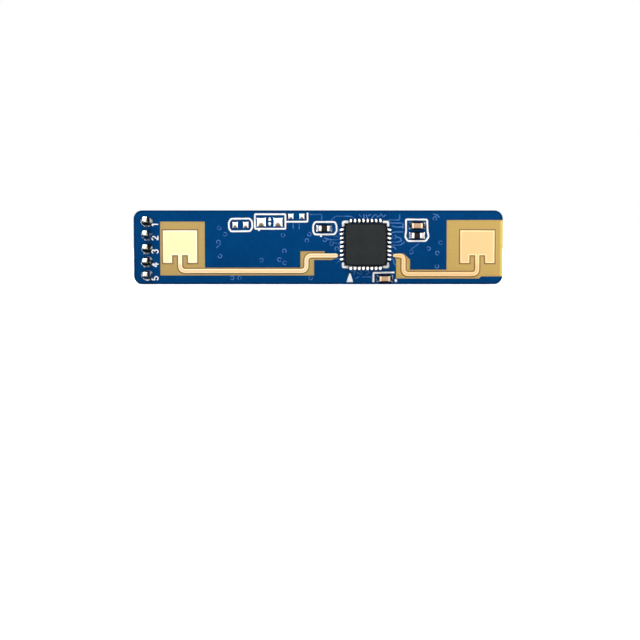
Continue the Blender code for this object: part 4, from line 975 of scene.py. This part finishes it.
def make_solder():
    """The solder that shows: at the leads of both packages, and on the footprints left bare."""
    for node, side, count, sizes, lean, reach in (
            ("radar_chip", ANTENNA_SIDE, 8, ((0.44, 0.20), (0.40, 0.21), (0.44, 0.20), (0.40, 0.27)),
             (-0.16, 0.0, 0.16, 0.0), 0.20),
            ("controller", HEADER_SIDE, 5, ((0.38, 0.18), (0.34, 0.19), (0.44, 0.18), (0.42, 0.19)),
             (-0.28, 0.0, 0.24, -0.2), 0.17)):
        # A sheet of painted shade under each package's leads
        add_piece(node + "_painted_gap_shade", gap_bands(node, side, count), side, SHADE_MASK)
        leads = lead_pillows(node, side, count, sizes, lean, reach)
        add_piece(node + "_solder", leads, side, LEAD_TIN)
    bare = pair_pillows((-7.37, 2.12), 0.56, 0.62, 0.50)
    bare += pair_pillows((-4.60, 2.38), 0.92, 0.86, 0.79, height=0.07, pinch=0.13)
    bare += pair_pillows((-2.07, 2.93), 0.53, 0.54, 0.52)
    add_piece("bare_land_solder_front", joined(bare), ANTENNA_SIDE, BARE_TIN)

    spare = pair_pillows((-11.11, 2.04), 0.50, 0.50, 0.50, True, browned_low=False)
    left, right, low, high = crystal = place_of("crystal_base", HEADER_SIDE)
    spots = [((x, y), 0.64, 0.86, 0.012, 16.0, LAND_TOP) for x in (left + 0.02, right - 0.02)
             for y in (low + 0.27, high - 0.27)]
    middle = (left + right) / 2
    spots += [((middle + step, low - 0.12), 0.10, 0.12, 0.03, 3.0, 0.0) for step in (-0.34, 0.34)]
    spots.append((FIDUCIAL, 0.74, 0.74, 0.012, 2.0, LAND_TOP))
    for lead in (1, 2, 3):
        node = "regulator_lead_%d" % lead
        left, right, _, _ = place_of(node, HEADER_SIDE)
        middle = middle_of(node, HEADER_SIDE)[1]
        if lead == 1:
            spots.append(((left - 0.30, middle), 0.66, 0.44, 0.05, 10.0, LAND_TOP))
        else:
            spots.append(((right + 0.09, middle), 0.22, 0.50, 0.04, 10.0, LAND_TOP))
            spots.append(((right + 0.41, middle), 0.14, 0.46, 0.03, 8.0, LAND_TOP))
    for centre, length, width, height, square, base in spots:
        spare.append(pillow(centre, length, width, height, 0.0, square, brown_point=FAR, base=base))
    # Sheets of painted shade round the crystal, the inductor and the regulator
    shades = [shade_ring(*crystal, 0.12, 0.42),
              shade_ring(*place_of("inductor_core", HEADER_SIDE), 0.13, 0.54),
              shade_ring(*place_of("regulator_body", HEADER_SIDE), 0.04, 0.26)]
    add_piece("part_painted_shade_back", joined(shades), HEADER_SIDE, SHADE_MASK)
    add_piece("bare_land_solder_back", joined(spare), HEADER_SIDE, BARE_TIN)


def joint(centre, index):
    """A soldered pin tail. Up the tail a point's distance from the middle falls from the land's radius
    to the tail's as the 2.4th power of what is left of the climb, and its outline goes from a circle to
    a rounded square. Near the tip it closes by a quarter circle. The foot slumps down and to the
    right by the square of what is left, and each joint leans its own way."""
    angle = np.linspace(0, 2 * math.pi, 28, endpoint=False)
    flank, tail = np.linspace(0.06, FLANK_TOP - 0.04, 9), np.linspace(FLANK_TOP + 0.02, TAIL_SHOULDER, 4)
    climb = np.concatenate([[-0.03, 0.0, 0.02], flank, tail])
    rest = np.clip(1 - climb / FLANK_TOP, 0, 1)[:, None]
    swell = 1 + 0.05 * np.sin(2 * angle + 1.7 * index) * rest
    reach = (TAIL_RADIUS + JOINT_SPREAD * rest ** 2.4) * swell
    cosine, sine = superellipse(angle, 2 + 3 * (1 - rest))
    turn = np.radians([20, 45, 65, 80])[:, None]
    climb = np.concatenate([climb[:, None], TAIL_SHOULDER + 0.12 * np.sin(turn)])
    closing = TAIL_RADIUS * np.cos(turn) ** 0.6
    slump = np.concatenate([rest, np.zeros((4, 1))]) ** 2
    lean = np.clip(climb, 0, 1) ** 2
    x = np.concatenate([reach * cosine, closing * cosine[-1:]]) + 0.05 * slump
    y = np.concatenate([reach * sine, closing * sine[-1:]]) - 0.09 * slump
    x = centre[0] + x - 0.04 * lean
    y = centre[1] + y + (0.035 * (5 - index) + 0.01) * lean
    rings = np.stack([x, y, np.broadcast_to(climb + 0.01, x.shape)], axis=-1)
    return skin(rings, np.clip(climb, 0, 1))


def make_joints():
    """The five joints on the pins' tails, each in place of its CAD cone."""
    for index in range(1, 6):
        name = "solder_joint_%d" % index
        surface = joint(middle_of(name, ANTENNA_SIDE), index)
        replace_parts(add_piece(name + "_flow", surface, ANTENNA_SIDE, JOINT), name)


# Legend

def line(points, closed=False, soft=0.12, seed=0.0, width=LEGEND_WIDTH, ragged=0.06):
    """One printed line of the legend."""
    path = softened(points, soft, closed) if soft else np.asarray(points, float)
    return bead(path, width, LEGEND_HEIGHT, closed, ragged, seed)


def printed(outline, inset=0.06):
    """A printed spot: its outline, drawn in by steps as it rises."""
    return plated(outline, [(0.0, -0.01, 0.0), (0.0, 0.01, 0.4), (-0.02, LEGEND_HEIGHT, 1.0),
                            (-inset, LEGEND_HEIGHT, 1.0)])


def numeral(digit, centre, size, turn):
    """A plain numeral drawn with one stroke in a box 0.6 wide and 1 high."""
    stroke = {
        1: [(-0.16, 0.28), (0.06, 0.5), (0.06, -0.5)],
        2: [*arc((0, 0.22), 0.27, 165, -25, 9), (-0.27, -0.5), (0.3, -0.5)],
        3: [*arc((0, 0.24), 0.25, 155, -80, 9), *arc((0, -0.24), 0.27, 80, -155, 9)],
        4: [(0.3, -0.2), (-0.3, -0.2), (0.12, 0.5), (0.12, -0.5)],
        5: [(0.26, 0.5), (-0.2, 0.5), (-0.24, 0.06), *arc((0, -0.2), 0.29, 125, -150, 9)],
    }[digit]
    cos, sin = math.cos(turn), math.sin(turn)
    turned = np.array([(cos, -sin), (sin, cos)])
    placed = np.asarray(centre) + size * np.asarray(stroke) @ turned.T
    return bead(softened(placed, 0.07), NUMERAL_WIDTH, LEGEND_HEIGHT, step=0.12)


def corner_marks(node, side, out, arms, soft, width):
    """Printed angles off the corners of a package. Those at its left and at its right have the lengths
    of their own two arms."""
    made = []
    for way in ((-1, -1), (-1, 1), (1, -1), (1, 1)):
        corner = middle_of(node, side) + np.array(way) * out
        along, across = arms[way[0]]
        path = [corner - (way[0] * along, 0), corner, corner - (0, way[1] * across)]
        made.append(line(path, soft=soft, seed=way[0] + 2.0 * way[1], width=width))
    return made


def make_front_legend():
    """White lines round the parts of the antenna side, and a number by each pin."""
    lines = [
        line([(-8.46, 1.80), (-8.26, 1.51), (-6.46, 1.53), (-6.24, 1.86), (-6.26, 2.42), (-6.48, 2.72),
              (-8.24, 2.70), (-8.47, 2.40)], True, 0.12, 1.0),
        line(box_path(-6.00, -3.11, 1.76, 3.13), True, 0.08, 2.0),
        line([(-3.00, 2.42), (-1.01, 2.43), (-1.01, 3.22)], seed=3.0),
        line([(-0.33, 1.22), (1.56, 1.23), (1.76, 1.56), (1.74, 2.06), (1.58, 2.40), (-0.30, 2.40),
              (-0.48, 2.08), (-0.48, 1.5)], True, 0.14, 4.0),
        line([(8.48, 0.60), (10.20, 0.60), (10.48, 1.02), (10.37, 1.5), (10.32, 2.62), (8.32, 2.64),
              (8.33, 1.5), (8.25, 1.0)], True, 0.12, 5.0),
        line([(5.24, -3.24), (5.25, -2.44)], seed=6.0),
        line([(5.25, -2.42), (7.18, -2.38)], seed=7.0, ragged=0.12),
        line([(7.36, -3.10), (7.39, -3.20)], seed=8.0, width=0.19),
        line([(-5.64, 1.66), (-5.60, 1.64)], False, 0, 9.0, 0.17),
        line([(0.25, 1.08), (0.28, 1.06)], False, 0, 9.0, 0.17),
    ]
    drop = np.array([(-0.06, 0.36), (0.06, 0.36), (0.14, 0.12), (0.10, 0.02), (-0.10, 0.02),
                     (-0.14, 0.12)])
    for flip in (1, -1):
        outline = (drop * (1, flip))[::flip] + (-4.60, 2.44 + 0.04 * flip)
        lines.append(printed(softened(outline, 0.04, True), 0.04))
    arms = {-1: (0.42, 0.34), 1: (0.42, 0.34)}
    lines += corner_marks("radar_chip", ANTENNA_SIDE, 2.13, arms, 0.1, 0.22)
    pin_one = [(2.68, -3.30), (3.32, -3.30), (3.07, -2.46), (2.96, -2.46)]
    lines.append(printed(softened(pin_one, 0.06, True)))
    for digit in range(1, 6):
        pin_y = middle_of("header_pin_%d" % digit, ANTENNA_SIDE)[1]
        lines.append(numeral(digit, (-15.50, pin_y - 0.40), 0.60, math.pi / 2))
    add_piece("legend_front", joined(lines), ANTENNA_SIDE, INK)


def make_back_legend():
    """White lines round the parts of the header side, and numbers by the edge lands."""
    left, right, low, high = place_of("controller_capacitor", HEADER_SIDE)
    routes = [
        ([(-15.0, 3.13), (-13.41, 3.13), (-13.41, 1.02), (-14.9, 1.02)], False, 0.12, 1.0),
        ([(-12.54, 2.9), (-12.3, 3.16), (-11.9, 3.16), (-11.4, 3.07), (-10.9, 3.08), (-10.4, 3.17),
          (-9.8, 3.10), (-9.0, 3.14), (-8.80, 2.9), (-8.86, 2.1), (-8.80, 1.2), (-9.05, 0.97),
          (-9.8, 0.99), (-10.4, 0.90), (-10.9, 1.01), (-11.5, 1.01), (-12.0, 0.89), (-12.35, 0.93),
          (-12.54, 1.2), (-12.46, 2.1)], True, 0.16, 2.0),
        ([(-13.18, -0.15), (-13.18, 0.70), (-11.8, 0.70)], False, 0.12, 3.0),
        ([(-13.18, -1.13), (-13.18, -2.19), (-11.6, -2.19)], False, 0.12, 4.0),
        (box_path(left - 0.50, right + 0.42, low - 0.36, high + 0.36), True, 0.12, 6.0),
        ([(-3.02, 3.31), (-3.10, 2.9), (-3.10, 2.6), (-2.97, 2.3), (-2.97, 1.95), (-3.10, 1.7),
          (-3.10, 1.35), (-2.97, 1.1), (-2.97, 0.75), (-3.10, 0.5), (-3.10, 0.1), (-2.97, -0.15),
          (-3.08, -0.6), (-3.00, -1.1), (-2.80, -1.50), (-1.02, -1.52), (-0.84, -1.1), (-0.76, -0.6),
          (-0.90, -0.15), (-0.76, 0.1), (-0.76, 0.5), (-0.90, 0.75), (-0.90, 1.1), (-0.76, 1.35),
          (-0.76, 1.7), (-0.90, 1.95), (-0.90, 2.3), (-0.76, 2.6), (-0.84, 3.31)], False, 0.13, 7.0),
        ([(0.17, 3.31), (0.17, 1.81), (-0.66, 1.81)], False, 0.12, 8.0),
        ([(3.17, 3.31), (3.17, 1.57), (1.29, 1.53), (1.29, -0.28), (0.9, -0.46), (0.3, -0.42),
          (-0.2, -0.46), (-0.70, -0.42)], False, 0.16, 9.0),
        (box_path(7.36, 8.31, 1.16, 3.24), True, 0.12, 10.0),
        ([(8.32, 1.10), (8.36, 0.72), (8.54, 0.45), (10.96, 0.45), (11.16, 0.66), (11.26, 0.84)],
         False, 0.12, 11.0),
        ([(11.11, 1.4), (11.11, 3.25)], False, 0.12, 11.5),
        (box_path(11.17, 12.22, 0.82, 2.92), True, 0.12, 12.0),
        (box_path(8.68, 11.72, -2.47, 0.16), True, 0.1, 13.0),
        (box_path(11.97, 14.93, -2.07, -0.67), True, 0.1, 14.0),
    ]
    lines = [line(*route, BACK_LEGEND_WIDTH) for route in routes]
    arms = {-1: (0.27, 0.27), 1: (0.16, 0.16)}
    lines += corner_marks("controller", HEADER_SIDE, 1.57, arms, 0.08, 0.11)
    lines.append(printed(arc((-6.51, -1.66), 0.185, 0, 360, 17)[:-1]))
    lines += [numeral(digit, (15.42, 4.9 - 1.96 * digit), 0.78, 0.0) for digit in range(1, 5)]
    add_piece("legend_back", joined(lines), HEADER_SIDE, BACK_INK)


# Copper under the mask

def covered(path, width):
    """A trace under the mask: a low flat bead."""
    return bead(softened(path, 0.14), width, TRACE_HEIGHT, section=FLAT_BEAD, step=0.6)


def via_ring(centre, radius=0.17, width=0.11, start=0.0):
    """The rim of a covered via: three quarters of a ring, open on one side."""
    rim = arc(centre, radius, start, start + VIA_SWEEP_DEG, 16)
    return bead(rim, width, TRACE_HEIGHT * 1.3, section=FLAT_BEAD, step=1.0)


def via_dimple(centre, radius=0.13):
    """The mask that sags over a via's hole: a shallow dish."""
    share = np.array([1.0, 1.0, 0.6, 0.2])[:, None]
    rise = np.array([-0.01, 0.005, 0.002, 0.001])[:, None]
    angle = np.linspace(0, 2 * math.pi, 14, endpoint=False)
    x = centre[0] + radius * share * np.cos(angle)
    y = centre[1] + radius * share * np.sin(angle)
    return skin(np.stack([x, y, np.broadcast_to(rise, x.shape)], axis=-1), 1 - share)


FRONT_VIAS_PX = [
    (219.5, 227.8), (225.3, 234.1), (218.8, 241.9), (220.2, 256.2), (283.2, 235.0), (284.6, 250.9),
    (261.6, 260.3), (279.6, 259.7), (284.9, 262.9), (232.3, 278.2), (239.7, 278.2), (310.8, 278.3),
    (309.5, 234.0), (307.1, 240.4), (325.1, 239.6), (331.8, 243.6), (336.9, 248.6), (428.7, 248.5),
    (437.5, 253.1), (440.7, 242.6), (411.4, 252.0), (434.8, 218.2), (437.1, 266.4), (394.4, 236.8),
]
FRONT_TRACES_PX = [
    [(220.9, 243.6), (219.4, 245.6), (217.0, 247.4)],
    [(310.5, 214.1), (316.0, 214.3), (321.8, 213.8), (321.9, 220.2)],
    [(331.5, 219.7), (335.8, 215.9), (351.3, 216.0), (354.3, 218.2)],
    [(293.4, 223.4), (293.4, 227.8)], [(299.4, 223.6), (299.4, 228.4)],
    [(326.8, 238.4), (329.4, 239.6), (340.0, 239.5), (341.4, 240.6)],
    [(333.5, 242.4), (337.8, 243.3), (340.6, 245.3)],
    [(338.8, 247.8), (341.0, 250.2)], [(335.5, 236.2), (340.2, 236.2)], [(339.5, 229.4), (339.3, 232.6)],
    [(389.2, 219.7), (399.6, 219.7), (399.7, 215.0)],
    [(390.4, 222.8), (403.0, 222.8), (403.0, 227.6)],
    [(392.4, 225.8), (397.0, 227.0), (402.6, 226.6)],
    [(391.3, 233.4), (391.6, 232.6), (395.0, 231.8), (402.6, 231.7)],
    [(396.6, 236.8), (400.6, 237.8), (401.6, 240.8)],
    [(391.6, 241.8), (396.4, 242.4), (401.2, 240.8)],
    [(391.6, 245.2), (400.6, 245.0), (404.4, 242.0)],
    [(391.6, 247.2), (394.4, 246.8), (395.9, 249.2)],
    [(410.8, 249.6), (418.4, 243.9)],
    [(433.5, 213.9), (436.6, 214.3), (439.2, 216.8)],
    [(359.4, 214.6), (361.0, 216.4)], [(363.9, 214.6), (364.5, 218.6)], [(366.4, 215.0), (367.8, 218.4)],
    [(368.4, 215.4), (370.6, 214.3)], [(371.9, 218.0), (374.2, 214.5), (376.6, 214.8)],
    [(377.3, 216.6), (379.6, 215.4)], [(381.0, 213.8), (383.2, 216.8), (385.4, 214.8)],
    [(351.8, 271.2), (355.4, 270.6), (354.2, 274.2)], [(357.6, 272.8), (361.0, 275.0), (361.9, 272.6)],
    [(360.3, 271.3), (362.2, 270.2)], [(365.8, 270.9), (368.0, 270.2), (369.7, 272.8)],
    [(356.4, 278.4), (359.0, 276.9)], [(362.8, 277.2), (371.2, 277.3)], [(366.4, 274.6), (368.2, 273.4)],
    [(335.8, 259.2), (338.8, 258.4)], [(337.6, 262.7), (339.8, 260.6)],
    [(391.2, 258.2), (394.2, 260.4), (393.6, 262.6), (395.6, 265.4)], [(391.8, 252.4), (393.0, 253.6)],
]


def make_front_copper():
    """Raised traces and via rims that show lighter under the mask of the antenna side."""
    spots = [upper(*spot) for spot in FRONT_VIAS_PX]
    traces = [covered([upper(*spot) for spot in run], 0.14) for run in FRONT_TRACES_PX]
    rims = [via_ring(spot, start=90 + 150 * math.sin(2.3 * index)) for index, spot in enumerate(spots)]
    add_piece("covered_copper_front", joined(traces + rims), ANTENNA_SIDE, FRONT_COVERED)
    dimples = joined([via_dimple(spot) for spot in spots])
    add_piece("via_dimples_front", dimples, ANTENNA_SIDE, FRONT_SUNK)


BACK_VIAS = [
    (-7.96, 2.97), (-7.21, 2.97), (-3.51, 1.34), (-9.23, 0.18), (-9.23, -0.28), (-8.65, -1.15),
    (-9.23, -1.62), (-7.75, -2.72), (-6.66, -2.78), (-5.76, -1.39), (0.20, -2.80), (0.22, -0.95),
    (1.88, 0.30), (3.43, 2.50), (3.84, 2.91), (4.16, 2.53), (4.71, 2.43), (4.77, -2.86), (5.81, -2.86),
    (6.29, -2.86), (7.02, 2.37), (7.02, 2.0), (7.02, 1.47), (7.17, 0.33), (7.35, -1.91), (7.76, -1.91),
    (11.2, -2.92),
]
BACK_TRACES = [
    [(-14.55, 0.10), (-13.40, 0.10)], [(-11.44, -0.79), (-9.00, -0.79)],
    [(-15.0, -1.75), (-14.55, -2.2), (-9.0, -2.2), (-8.48, -1.79)],
    [(-15.0, -2.02), (-14.55, -2.47), (-8.6, -2.47), (-7.96, -1.90)],
    [(-15.0, -2.33), (-14.55, -2.78), (-8.4, -2.78), (-7.9, -2.2), (-7.9, -2.0)],
    [(-7.79, -1.96), (-7.15, -2.37), (-6.80, -2.78)],
    [(-7.15, -1.62), (-5.88, -2.89), (-5.77, -3.0), (-0.50, -3.0), (1.37, -1.06)],
    [(-6.11, -1.85), (-5.31, -2.66), (-5.2, -2.74), (-0.67, -2.74), (1.18, -0.92)],
    [(-5.3, -2.43), (-0.96, -2.43), (0.48, -1.03)],
    [(-3.16, -2.21), (-1.07, -2.21)], [(-0.44, -3.15), (5.0, -3.15)],
    [(-8.55, 2.53), (-7.4, 2.53)], [(-8.55, 2.24), (-7.0, 2.24), (-6.9, 2.16)],
    [(-8.55, 1.86), (-7.7, 1.86)], [(-8.55, 1.66), (-7.7, 1.66)],
    [(-7.1, 2.87), (-5.2, 2.87)], [(-5.1, 3.14), (-3.16, 3.14)], [(-5.1, 2.85), (-3.16, 2.85)],
    [(-4.0, 2.27), (-3.16, 2.27)], [(-9.63, 0.58), (-8.89, 0.58)],
    [(1.24, -1.15), (1.99, -1.15)], [(0.95, -1.47), (1.75, -1.47)],
    [(3.47, 3.20), (4.42, 3.20)], [(5.34, 3.05), (7.25, 3.05)], [(5.09, 2.21), (6.8, 2.21)],
    [(4.42, 1.98), (6.8, 1.98)], [(4.14, 1.43), (6.05, 1.43)], [(3.95, 1.20), (5.81, 1.20)],
    [(4.52, -2.59), (5.34, -2.59)], [(7.09, -1.05), (8.53, -1.05)], [(7.09, -2.21), (8.58, -2.21)],
    [(10.96, 0.36), (11.33, 0.92), (14.97, 0.92), (15.9, 1.6)],
    [(11.1, 0.30), (11.4, 0.66), (15.1, 0.66), (15.9, 1.2)],
    [(13.1, -2.21), (14.8, -2.21)], [(6.81, -3.18), (16.06, -3.18)],
    [(7.5, -0.70), (7.7, -0.30), (8.0, -0.36), (8.1, -0.62)],
]
BROAD_TRACES = [[(11.85, 0.06), (15.56, 0.06), (16.1, -0.46)]]


def make_bare_rim():
    """The milled end of the board, bare and golden on the header side, past the corners."""
    upper_corner = arc((16.7, 2.7), 0.68, 88, 2, 8)
    path = [(16.2, 3.38), *upper_corner, *(upper_corner * (1, -1))[::-1], (16.2, -3.38)]
    surface = bead(path, 0.22, 0.058, section=FLAT_BEAD, step=0.6)
    add_piece("bare_rim_back", surface, HEADER_SIDE, RIM)


def make_back_copper():
    """Traces, via rims and the rings round the edge lands, darker under the mask of the header side."""
    parts = [covered(run, 0.19) for run in BACK_TRACES]
    parts += [covered(run, 0.30) for run in BROAD_TRACES]
    parts += [via_ring(spot, 0.12, 0.10) for spot in BACK_VIAS]
    sweeps = {3.0: (150, 322), 1.0: (38, 322), -1.0: (38, 322), -3.0: (38, 210)}
    rings = [arc((EDGE_LAND_X, y), 0.74, *sweep, 24) for y, sweep in sweeps.items()]
    parts += [bead(ring, 0.15, TRACE_HEIGHT, section=FLAT_BEAD, step=1.0) for ring in rings]
    add_piece("covered_copper_back", joined(parts), HEADER_SIDE, BACK_COVERED)
    middle = middle_of("radar_chip", ANTENNA_SIDE)
    places = PAD_VIA_PITCH * (np.arange(4) - 1.5)
    grid = [(middle[0] + x, -middle[1] + y) for x in places for y in places]
    dimples = joined([via_dimple(spot) for spot in BACK_VIAS] + [via_dimple(spot, 0.15) for spot in grid])
    add_piece("via_dimples_back", dimples, HEADER_SIDE, BACK_SUNK)


# Stage, light and camera

def seen_rays(f):
    """One for the rays that show a thing to the camera, at once or in a reflection or through glass."""
    rays = f.node("ShaderNodeLightPath")
    kinds = ("Camera", "Glossy", "Transmission")
    direct, glossy, through = (Value(f, rays["Is %s Ray" % kind]) for kind in kinds)
    return f.math("MAXIMUM", direct, f.math("MAXIMUM", glossy, through))


def make_floor():
    """A pale floor that shows white away from the shadow. In metres it dips by a millionth of the
    square of the distance, so it has an edge far off but no fold."""
    across = np.linspace(-FLOOR_HALF, FLOOR_HALF, FLOOR_POINTS)
    x, y = np.meshgrid(across, across, indexing="ij")
    points = np.stack([x, y, -1e-6 - 1e-6 * (x ** 2 + y ** 2)], axis=-1).reshape(-1, 3)
    mesh = bpy.data.meshes.new("floor")
    faces = [face[::-1] for face in grid_faces(FLOOR_POINTS, FLOOR_POINTS)]
    mesh.from_pydata(points.tolist(), [], faces)
    f = new_finish("pale_floor")
    away = f.add("ShaderNodeVectorMath", {0: f.place()}, "Value", operation="LENGTH")
    glow = f.between(away, SHADED_TO, WHITE_FROM, 0.5, 1.0)
    pale = f.mix(f.grain(0.5)[0], (243, 243, 243), (247, 247, 247))
    mesh.materials.append(f.wear({
        "Base Color": pale, "Roughness": 0.9, "Specular IOR Level": 0.0, "Emission Color": (1, 1, 1, 1),
        "Emission Strength": seen_rays(f) * glow}))
    floor = bpy.data.objects.new("floor", mesh)
    bpy.context.scene.collection.objects.link(floor)


def make_world():
    """White to the camera and in reflections and glass, and a soft even light on the object."""
    world = bpy.data.worlds.new("studio")
    world.use_nodes = True
    bpy.context.scene.world = world
    f = Finish(world.node_tree)
    back = world.node_tree.nodes["Background"]
    back.inputs["Color"].default_value = (1, 1, 1, 1)
    f.feed(back.inputs["Strength"], seen_rays(f) * (1 - STUDIO_LIGHT) + STUDIO_LIGHT)


def make_lamp(name, place, power, size):
    """A square area lamp, aimed at the middle of the board."""
    lamp = bpy.data.lights.new(name, "AREA")
    lamp.energy = power
    lamp.size = size
    made = bpy.data.objects.new(name, lamp)
    bpy.context.scene.collection.objects.link(made)
    made.location = place
    aim = Vector((0, 0, HALF_WIDTH * MM)) - Vector(place)
    made.rotation_euler = aim.to_track_quat("-Z", "Y").to_euler()


def make_camera():
    """The photograph's view: nearly level, with the board's middle above the middle of the frame."""
    camera = bpy.data.cameras.new("camera")
    camera.sensor_width = 36.0
    camera.lens = FOCAL
    camera.clip_start = 0.005
    camera.clip_end = 5.0
    made = bpy.data.objects.new("camera", camera)
    bpy.context.scene.collection.objects.link(made)
    lift = math.radians(CAMERA_LIFT_DEG)
    distance = CAMERA_DISTANCE * MM
    height = HALF_WIDTH * MM + distance * math.sin(lift)
    made.location = (CAMERA_ASIDE * MM, -distance * math.cos(lift), height)
    made.rotation_euler = (math.pi / 2 - lift - math.radians(CAMERA_DIP_DEG), 0, 0)
    bpy.context.scene.camera = made


dress_nodes()
make_antennas()
make_chip_parts()
make_solder()
make_joints()
make_front_legend()
make_back_legend()
make_front_copper()
make_back_copper()
make_bare_rim()
make_floor()
make_world()
make_lamp("key_lamp", (-0.10, -0.22, 0.24), 0.51, 0.12)
make_lamp("fill_lamp", (0.16, -0.26, 0.02), 0.32, 0.20)
make_lamp("back_lamp", (0.10, 0.24, 0.24), 0.90, 0.13)
make_lamp("top_lamp", (0.0, 0.0, 0.36), 0.30, 0.24)
make_camera()
bpy.context.scene.view_settings.view_transform = "Standard"
